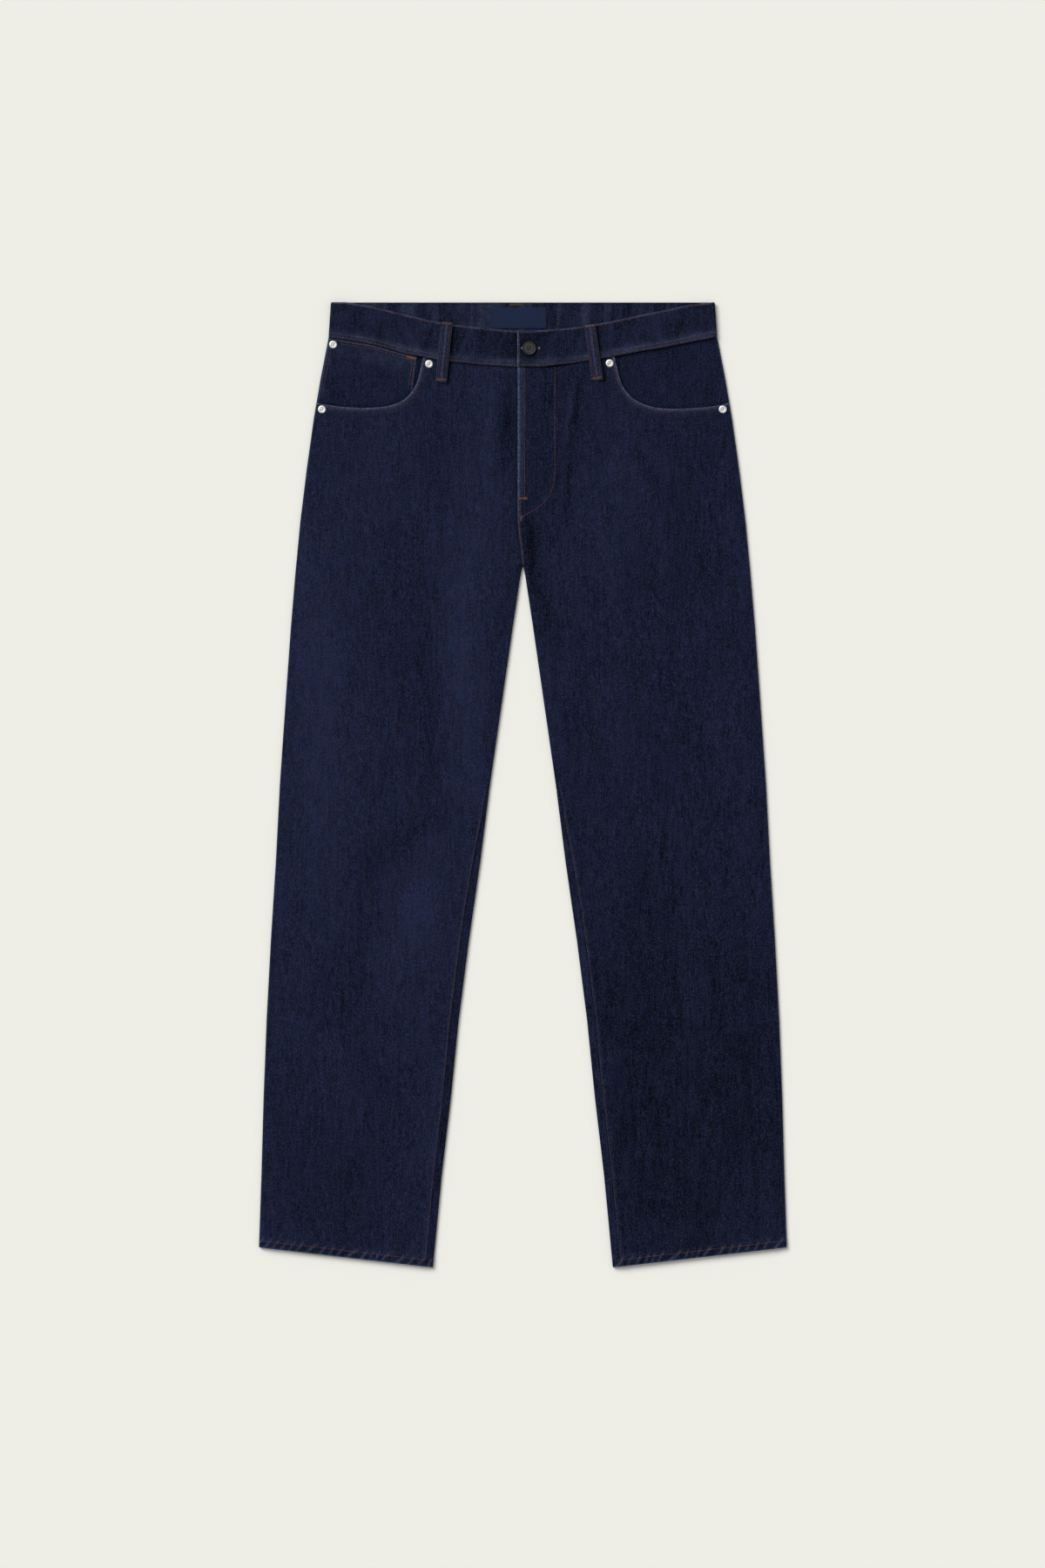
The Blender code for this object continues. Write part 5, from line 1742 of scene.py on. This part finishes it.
    def back_section(self, x: float) -> Array:
        """One ring of points of the back band, its outer face on the floor."""
        cut, share = self.lay.cut, np.asarray(self.shares)
        place = mix(x * self.top_half / self.low_half, x, share)
        y = mix(cut.waist_top, cut.waist_low, share)
        half = self.cloth / 2 * self.rim(share)
        low = self.cloth / 2 - half + self.floor_face(x, y) * (half * 2 / self.cloth)
        high = self.cloth / 2 + half + (self.inside(place, share) - 0.25) * self.freedom(x)
        high = np.minimum(high, self.front_z - 0.15)
        return self.ring(place, y, low, np.maximum(high, low + 0.6))

    def fold(self, side: Side, angle: float) -> Array:
        """One ring of points round a side fold."""
        share = np.asarray(self.shares)
        radius = (self.front_z + self.cloth) / 2
        turn = math.radians(angle)
        half = self.cloth / 2 * self.rim(share)
        edge = mix(self.top_half, self.low_half, share) - radius
        y = mix(self.lay.cut.waist_top, self.lay.cut.waist_low, share)
        outer, inner = (
            joined(side * (edge + arm * math.cos(turn)), y, radius + arm * math.sin(turn))
            for arm in (radius - self.cloth / 2 + half, radius - self.cloth / 2 - half)
        )
        return np.concatenate([outer, inner[::-1]])

    def build_strip(self) -> None:
        """Build the strip: under end, left fold, back, right fold and the lapped end."""
        limit = self.low_half - (self.front_z + self.cloth) / 2
        left = np.concatenate([np.arange(self.under_end, -limit, -self.ring_step), [-limit + 0.3]])
        right = np.arange(limit - self.ring_step, self.end_x + 3.0, -self.ring_step)
        tip = self.end_x + np.array([3.0, 1.6, 0.8, 0.3, 0.0])
        back = np.linspace(-limit, limit, 190)
        rings = [self.section(float(x), False) for x in left]
        rings += [self.fold(Side.LEFT, angle) for angle in self.turns]
        rings += [self.back_section(float(x)) for x in back]
        rings += [self.fold(Side.RIGHT, angle) for angle in reversed(self.turns)]
        for x in np.concatenate([[limit - 0.3], right, tip]):
            ring = self.section(float(x), True)
            thinned = 0.45 * float(falloff(x - self.end_x, 0.0, 1.8))
            ring[:, 2] = mix(ring[:, 2], ring[:, 2].mean(), thinned)
            rings.append(ring)
        points = np.asarray(rings)
        faces = self.ring_faces(*points.shape[:2])
        if self.volume(points.reshape(-1, 3), faces) < 0:
            faces = [tuple(reversed(face)) for face in faces]
        masks = self.masks(points, len(left), len(back))
        piece = make_piece(
            "denim_waistband", points.reshape(-1, 3), faces, self.wardrobe["denim_band"], masks,
        )
        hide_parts("waistband")

    @staticmethod
    def ring_faces(down: int, across: int) -> list[Sequence[int]]:
        """Faces of a tube of rings, with both of its ends closed."""
        rows, columns = np.meshgrid(np.arange(down - 1), np.arange(across), indexing="ij")
        here, after = rows * across, (columns + 1) % across
        corners = (here + columns, here + after, here + across + after, here + across + columns)
        faces = np.stack(corners, axis=2).reshape(-1, 4).tolist()
        for start in (0, (down - 1) * across):
            caps = [
                (start + k, start + across - 1 - k, start + across - 2 - k, start + k + 1)
                for k in range(across // 2 - 1)
            ]
            faces += caps if start else [tuple(reversed(cap)) for cap in caps]
        return faces

    @staticmethod
    def volume(points: Array, faces: list) -> float:
        """Signed volume of a closed mesh of four-sided faces."""
        quads = points[np.asarray(faces)]
        one = np.einsum("ij,ij->i", quads[:, 0], np.cross(quads[:, 1], quads[:, 2]))
        two = np.einsum("ij,ij->i", quads[:, 0], np.cross(quads[:, 2], quads[:, 3]))
        return float(one.sum() + two.sum())

    def masks(self, points: Array, left_count: int, back_count: int) -> dict[str, Array]:
        """Where the band is rubbed or streaked, and where shade and light are painted on it."""
        share = np.concatenate([self.shares, self.shares[::-1]])[None, :]
        x, y, z = np.moveaxis(points, 2, 0)
        near_top, near_low = share * self.width, (1.0 - share) * self.width
        rub = 0.6 + 0.4 * uneven(x, near_top, 11.0, 49.0)
        wear = 0.52 * rub * falloff(near_top, 0.5, 1.3) + 0.42 * rub * falloff(near_low, 0.4, 1.3)
        wear += 0.26 * rub * bell(near_low - 5.0, 3.2)
        fade = uneven(x, near_top, 20.0, 46.0) * 0.35 + uneven(x, near_top, 8.0, 47.0) * 0.25
        front = z > self.front_z - 0.6
        # Painted shadow beside the front loops.
        deep = np.where(front, 0.9 * self.lay.beside_loops(x, y), 0.0)
        fade -= np.where(front, 0.70 * bell(x - 8.0, 34.0), 0.0)
        # Painted light and shade on the band's creases: paler on their ridges, darker in their troughs.
        fade += np.where(front, 1.1 * self.pulled(x, y), 0.0)
        rows = np.arange(len(points))
        back_start = left_count + len(self.turns)
        lapped = rows >= back_start + back_count + len(self.turns)
        end = np.where(lapped, x[:, 0] - self.end_x, 50.0)[:, None]
        frayed = 0.62 + 0.38 * uneven(y, x * 0.0, 4.0, 50.0)
        wear += 0.95 * frayed * falloff(end, 0.4, 1.5)
        # Painted shadow on the under end, beside the lapped end.
        under_end = np.where(rows < back_start, self.end_x - x[:, 0], 50.0)[:, None]
        deep += np.where(under_end > -1.0, 0.75 * falloff(under_end, 1.0, 7.0), 0.0)
        # Painted shadow round the button.
        button = np.hypot(x - self.button[0], y - self.button[1])
        deep += np.where(lapped[:, None], 0.8 * falloff(button, 8.0, 3.5), 0.0)
        inside = np.zeros_like(x)
        inside[back_start:back_start + back_count, len(self.shares):] = 1.0
        streak = self.inside(x, share)
        wear += inside * np.clip(streak * 0.30, 0.0, 0.14)
        # Painted shade along the top edge of the back band's inside.
        deep = deep * (1.0 - inside) + inside * 1.1 * bell(near_top, 1.7)
        wear -= inside * 0.48 * rub * falloff(near_top, 0.5, 1.3)
        fade -= inside * 0.22
        return {"wear": np.clip(wear, 0.0, 1.2), "deep": deep, "fade": fade}

    def sew_edges(self) -> None:
        """Sew the rows along the band's edges and its lapped end."""
        cut, sewing = self.lay.cut, self.sewing
        for right, (first, last) in enumerate(((-219.0, -8.0), (-4.4, 219.0))):
            x = np.linspace(first, last, 120)
            face = self.front_top(bool(right))
            top_row = joined(x * self.top_half / self.low_half, cut.band_top(x) - self.row_inset)
            sewing.run("band", top_row, face, pitch=self.row_pitch)
            low_row = joined(x, cut.band_low(x) + self.row_inset)
            sewing.run("band", low_row, face, pitch=self.row_pitch)
            faint = x[70:] if right else x[:78]
            sewing.run("band", joined(faint, cut.band_low(faint) + 5.6), face, Thread.TAN, radius=0.32)
        end = ((self.end_x + 2.0, 517.6), (self.end_x + 2.4, 482.2))
        sewing.run("band", end, self.front_top(True), pitch=self.row_pitch)
        for level in (cut.waist_top - 2.0, cut.waist_low + 2.0):
            path = joined(np.linspace(-217.0, 217.0, 200), level)
            sewing.run("under_band", path, self.floor_face, down=True)
        over_patch = partial(on_floor, raised=3.0)
        sewing.bar("inside", (-8.0, 550.7), (1.0, 0.0), 15.0, 2.4, over_patch, Thread.BROWN)

    def floor_face(self, x: Array, y: Array) -> Array:
        """Height of the back band's outer face over the floor."""
        return self.lay.under_loops(x) * self.recess

    def build(self) -> None:
        """Build and sew the band."""
        self.build_strip()
        self.sew_edges()


@dataclass
class BeltLoops(Maker):
    """The belt loops, two on the front and three under the back."""

    band: Band
    width: float = 12.8
    cloth: float = 1.6
    rise: float = 0.8
    row_aside: float = 3.9
    back_length: float = 58.0
    front: tuple[tuple[Side, float, float, float, float], ...] = (
        (Side.LEFT, -87.0, 530.4, -93.8, 462.0),
        (Side.RIGHT, 76.6, 527.6, 85.7, 464.0),
    )

    def strap(self, side: Side, top_x: float, top_y: float, low_x: float, low_y: float) -> None:
        """Build one front loop, arched over the band."""
        start, end = np.array((top_x, top_y)), np.array((low_x, low_y))
        length = float(np.linalg.norm(end - start))
        along = (end - start) / length
        aside = np.array((-along[1], along[0]))
        tips = ([0.0, 0.4, 1.0, 2.0], [length - 1.2, length - 0.5, length])
        steps = np.concatenate([tips[0], np.linspace(3.5, length - 3.0, 34), tips[1]])
        across = mirrored(1.0, 0.97, 0.9, 0.78, 0.62, 0.45, 0.28, 0.12)
        band_top = self.band.front_z + self.band.cloth + 0.5
        corners = np.array([
            end - along * back + aside * hand * self.width / 2
            for back in (0.0, 8.0, 15.0) for hand in (-1, 1)
        ])
        panel = float(self.lay.front(side, corners[:, 0], corners[:, 1]).max()) + 0.2
        top = band_top + self.rise
        level = np.interp(
            steps,
            (0.0, 5.0, 12.0, 32.0, length - 22.0, length - 14.0, length),
            (band_top, band_top, top, top, band_top + self.rise * 0.7, max(panel, band_top), panel),
        )
        plan = start + steps[:, None, None] * along + across[None, :, None] * aside * self.width / 2
        edge = np.minimum(1.0 - np.abs(across)[None, :], 1.0) * self.width / 2
        tip = np.minimum(steps, length - steps)[:, None]
        edge = np.minimum(edge, tip)
        ridge = 0.35 * bell(across, 0.30)[None, :] - 0.14 * bell(np.abs(across) - 0.6, 0.12)
        z = level[:, None] + self.cloth + ridge - 0.55 * falloff(edge, 0.0, 1.2)
        z += 0.12 * uneven(plan[:, :, 0], plan[:, :, 1], 7.0, 51.0)
        outer = joined(plan[:, :, 0], plan[:, :, 1], z)
        inner = joined(plan[:, :, 0], plan[:, :, 1], level[:, None])
        wear = 0.34 * falloff(edge, 0.0, 1.0) + 0.26 * bell(across, 0.24)[None, :] + z * 0.0
        # Painted shade in the sunk stitch lines.
        deep = 0.50 * bell(np.abs(across) - 0.6, 0.16)[None, :] + z * 0.0
        fade = 0.2 + uneven(plan[:, :, 0], plan[:, :, 1], 6.0, 52.0) * 0.4
        make_sheet(
            "denim_loop_front_" + side.word, "belt_loop_front_" + side.word, outer, inner,
            self.wardrobe["denim_band"], "denim_band", True,
            {"wear": wear, "deep": deep, "fade": fade}, ["waistband", "front_panel_" + side.word],
        )

        def face(x: Array, y: Array) -> Array:
            """Height of the strap's outer face."""
            down = (x - start[0]) * along[0] + (y - start[1]) * along[1]
            return np.interp(down, steps, level) + self.cloth

        for offset in (-self.row_aside, self.row_aside):
            path = np.stack([start + along * 1.5 + aside * offset, end - along * 1.2 + aside * offset])
            self.sewing.run("loops", path, face, pitch=2.9)
        for place in (start + along * 1.8, end - along * 2.6):
            self.sewing.bar("loops", tuple(place), tuple(aside), 9.8, 2.0, face)

    def under(self, x: float, word: str) -> None:
        """Build one flat loop under the back."""
        low, high = self.lay.loop_low, self.lay.cut.waist_top - 0.3
        down = np.concatenate([[0.0, 0.01, 0.025], np.linspace(0.05, 0.95, 20), [0.975, 0.99, 1.0]])
        across = mirrored(1.0, 0.96, 0.88, 0.7, 0.45, 0.2)
        place, y = np.meshgrid(x + across * self.width / 2, mix(high, low, down))
        edge = inset_grid((across + 1.0) / 2, down, self.width, self.back_length)
        z = 0.35 * falloff(edge, 0.0, 1.1)
        masks = {"wear": 0.5 * falloff(edge, 0.0, 1.2), "fade": 0.2 + uneven(place, y, 6.0, 53.0) * 0.4}
        make_sheet(
            "denim_loop_back_" + word, "belt_loop_back_" + word, joined(place, y, z), joined(place, y, 1.2),
            self.wardrobe["denim_band"], "denim_band", False, masks, ["floor"],
        )
        for offset in (-self.row_aside, self.row_aside):
            path = ((x + offset, high - 2.0), (x + offset, low + 2.0))
            self.sewing.run("under_loops", path, on_floor, down=True)
        for level in (high - 3.0, low + 2.4):
            self.sewing.bar("under_loops", (x, level), (1.0, 0.0), 10.4, 3.0, on_floor, down=True)

    def build(self) -> None:
        """Build all five loops."""
        for side, *places in self.front:
            self.strap(side, *places)
        for x, word in zip(self.lay.back_loops, ("left", "middle", "right")):
            self.under(x, word)


@dataclass
class WaistPatch(Maker):
    """The bare woven patch inside the back of the band."""

    left: float = -37.4
    right: float = 27.1
    low: float = 523.5
    top: float = 547.5
    base: float = 3.1
    cloth: float = 0.8

    def face(self, x: Array, y: Array) -> Array:
        """Height of the patch's outer face."""
        return self.base + self.cloth + 0.18 * np.sin(x * 0.21 + 0.6) + 0.10 * uneven(x, y, 9.0, 61.0)

    def build(self) -> None:
        """Build the patch and its sewn ends."""
        across = np.concatenate([[0.0, 0.006, 0.016], np.linspace(0.03, 0.97, 44), [0.984, 0.994, 1.0]])
        down = np.concatenate([[0.0, 0.015, 0.04], np.linspace(0.08, 0.92, 14), [0.96, 0.985, 1.0]])
        x, y = np.meshgrid(mix(self.left, self.right, across), mix(self.top, self.low, down))
        edge = inset_grid(across, down, self.right - self.left, self.top - self.low)
        z = self.face(x, y) - 0.3 * falloff(edge, 0.0, 0.9)
        make_sheet(
            "waist_patch", "waist_label", joined(x, y, z), joined(x, y, self.base),
            self.wardrobe["patch_cloth"], "label_cloth", True, {}, ["waistband"],
        )
        for x_end in (self.left + 1.6, self.right - 1.6):
            path = np.asarray(((x_end, self.top - 1.0), (x_end, self.low + 1.0)))
            self.sewing.run("patch", path, self.face, Thread.NAVY, pitch=2.2, length=1.6, radius=0.3)


def turned_piece(
    name: str, profile: Sequence[tuple[float, float, float]], place: tuple[float, float, float], turns: int,
    material: bpy.types.Material,
) -> bpy.types.Object:
    """Make a round piece from its profile.

    Args:
        name: The piece's name.
        profile: Radius, height and tarnish of each ring, from the middle of the top to the foot's.
        place: Where the foot's middle is.
        turns: How many steps go round it.
        material: Its material.

    Returns:
        The new object.
    """
    angle = 2.0 * np.pi * np.arange(turns) / turns
    spokes = joined(np.cos(angle), np.sin(angle))
    points, tarnish = [], []
    for radius, height, dirt in profile:
        ring = joined(*(spokes * radius).T, height) if radius else np.array([[0.0, 0.0, height]])
        points.append(ring + place)
        tarnish += [dirt] * len(ring)
    faces: list[tuple[int, ...]] = [(0, 1 + k, 1 + (k + 1) % turns) for k in range(turns)]
    for start in range(1, 1 + (len(profile) - 3) * turns, turns):
        for k in range(turns):
            after = (k + 1) % turns
            faces.append((start + k, start + turns + k, start + turns + after, start + after))
    last = len(tarnish) - 1
    start = last - turns
    faces += [(last, start + (k + 1) % turns, start + k) for k in range(turns)]
    masks = {"tarnish": np.asarray(tarnish, float)}
    return make_piece(name, np.concatenate(points), faces, material, masks, sharp=40.0)


@dataclass
class Hardware(Maker):
    """The button with its buttonhole, and the rivets."""

    band: Band
    button_radius: float = 7.75
    rivets: Places = (
        (-217.6, 505.0), (-230.4, 430.6), (-107.6, 482.6), (99.6, 483.4), (229.2, 430.6),
    )
    rivet_radius: float = 4.7

    def build_button(self) -> None:
        """Build the button's head: raised rim, sunk ring and small middle stud."""
        r = self.button_radius
        profile = (
            (0.0, 2.55, 0.9), (0.45, 2.6, 0.9), (0.9, 2.95, 0.2), (1.5, 3.0, 0.1), (2.0, 2.8, 0.4),
            (2.3, 2.6, 0.9), (2.8, 2.7, 0.3), (r * 0.56, 2.85, 0.15), (r * 0.74, 2.75, 0.3),
            (r * 0.80, 2.65, 0.6), (r * 0.84, 2.8, 0.4), (r * 0.88, 3.15, 0.1), (r * 0.94, 3.3, 0.0),
            (r * 0.98, 3.1, 0.1), (r, 2.6, 0.3), (r * 0.98, 1.9, 0.5), (r * 0.80, 1.0, 0.8),
            (r * 0.5, 0.3, 1.0), (0.0, 0.3, 1.0),
        )
        place = (*self.band.button, self.band.overlap_z + self.band.cloth + 0.1)
        piece = turned_piece("button_head", profile, place, 64, self.wardrobe["button_metal"])
        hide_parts("button")

    def build_buttonhole(self) -> None:
        """Sew the buttonhole's close stitches round its slit, with pale ends."""
        face = self.band.front_top(True)
        slit = self.band.button[1]
        x = np.arange(0.4, 18.4, 0.8)
        aim = np.tile((0.1, 1.0), (len(x), 1)) / math.hypot(0.1, 1.0)
        for offset in (-1.2, 1.2):
            place = joined(x, slit + offset)
            self.sewing.stitches("buttonhole", place, aim, face, Thread.NAVY, False, 2.1, 0.36)
        for end in (-0.9, 18.8):
            self.sewing.bar("buttonhole", (end, slit), (0.0, 1.0), 2.4, 1.5, face, Thread.PALE)

    def build_rivets(self) -> None:
        """Build the five rivet caps, each with a sunk ring round its middle point."""
        cut, r = self.lay.cut, self.rivet_radius
        profile = (
            (0.0, 1.45, 0.45), (0.5, 1.4, 0.45), (0.9, 1.25, 0.6), (1.35, 1.1, 0.6), (1.9, 1.15, 0.3),
            (2.5, 1.3, 0.1), (3.2, 1.42, 0.0), (3.9, 1.25, 0.0), (4.4, 0.9, 0.05), (r, 0.4, 0.3),
            (r, 0.0, 0.8), (0.0, 0.0, 1.0),
        )
        turn = np.linspace(0.0, 2.0 * np.pi, 17)
        for number, (x, y) in enumerate(self.rivets, 1):
            side = Side.LEFT if x < 0 else Side.RIGHT
            around = self.lay.front(side, x + r * np.cos(turn), y + r * np.sin(turn))
            base = float(around.mean()) + 0.15
            if number == 1:
                base = cut.edge_height + cut.seam_gap + cut.facing_cloth + 0.3
            material = self.wardrobe["rivet_metal"]
            name = "rivet_cap_%d" % number
            piece = turned_piece(name, profile, (x, y, base), 40, material)
            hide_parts("rivet_%d" % number)

    def build(self) -> None:
        """Build every piece of hardware."""
        self.build_button()
        self.build_buttonhole()
        self.build_rivets()


@dataclass
class Studio:
    """The pale floor, soft lights and the camera straight above."""

    floor_level: float = -0.0006
    floor_half: float = 20.0
    floor_colour: tuple[float, float, float] = (238, 237, 230)
    floor_shade: tuple[float, float, float] = (237, 236, 229)
    frame_long: float = 1.8
    lens: float = 110.0
    sensor: float = 36.0
    aside: tuple[float, float] = (-0.0004, 0.001)
    sky: float = 0.33
    lights: tuple[tuple[str, tuple[float, float, float], float, float], ...] = (
        ("key_light", (-2.2, 2.2, 3.0), 38.0, 2.75),
        ("fill_light", (1.5, -1.0, 3.2), 60.0, 0.25),
    )

    def build_floor(self) -> None:
        """Make the floor."""
        mesh = bpy.data.meshes.new("floor")
        h, z = self.floor_half, self.floor_level
        mesh.from_pydata([(-h, -h, z), (h, -h, z), (h, h, z), (-h, h, z)], [], [(0, 1, 2, 3)])
        floor = bpy.data.objects.new("floor", mesh)
        bpy.context.scene.collection.objects.link(floor)
        material, nodes, shader, place = Finish("floor_paper").begin()
        cloud = nodes.spread(nodes.noise(place, 3.0, 2.0), 0.3, 0.7)
        tint = nodes.blend(cloud, srgb(*self.floor_shade), srgb(*self.floor_colour))
        nodes.put(shader.inputs["Base Color"], tint)
        shader.inputs["Roughness"].default_value = 0.95
        shader.inputs["Specular IOR Level"].default_value = 0.0
        mesh.materials.append(material)

    def light(self, name: str, place: tuple[float, float, float], spread: float, power: float) -> None:
        """Add an even soft light that comes from one side, over the whole floor."""
        data = bpy.data.lights.new(name, "SUN")
        data.angle = math.radians(spread)
        data.energy = power
        lamp = bpy.data.objects.new(name, data)
        lamp.location = place
        lamp.rotation_euler = (-Vector(place)).to_track_quat("-Z", "Y").to_euler()
        bpy.context.scene.collection.objects.link(lamp)

    def build_camera(self) -> None:
        """Make the camera, its frame 1.8 m long at the floor."""
        data = bpy.data.cameras.new("camera")
        data.lens = self.lens
        data.sensor_width = self.sensor
        camera = bpy.data.objects.new("camera", data)
        camera.location = (*self.aside, self.frame_long * self.lens / self.sensor)
        data.clip_end = 50.0
        bpy.context.scene.collection.objects.link(camera)
        bpy.context.scene.camera = camera

    def build(self) -> None:
        """Build the studio."""
        self.build_floor()
        self.build_camera()
        for light in self.lights:
            self.light(*light)
        world = bpy.data.worlds.new("studio")
        bpy.context.scene.world = world
        world.use_nodes = True
        background = world.node_tree.nodes["Background"]
        background.inputs[0].default_value = (1.0, 1.0, 1.0, 1.0)
        background.inputs[1].default_value = self.sky
        bpy.context.scene.view_settings.view_transform = "Standard"


def main() -> None:
    """Build the studio and every piece of the jeans, then sew them."""
    logging.basicConfig(level=logging.INFO, format="%(name)s %(message)s")
    Studio().build()
    wardrobe = Wardrobe().build()
    lay = Lay()
    sewing = Sewing(wardrobe)
    band = Band(lay, wardrobe, sewing)
    Legs(lay, wardrobe, sewing).build()
    BackTop(lay, wardrobe, sewing).build()
    FrontPockets(lay, wardrobe, sewing).build()
    band.build()
    BeltLoops(lay, wardrobe, sewing, band).build()
    WaistPatch(lay, wardrobe, sewing).build()
    Hardware(lay, wardrobe, sewing, band).build()
    sewing.build()


if __name__ == "__main__":
    main()
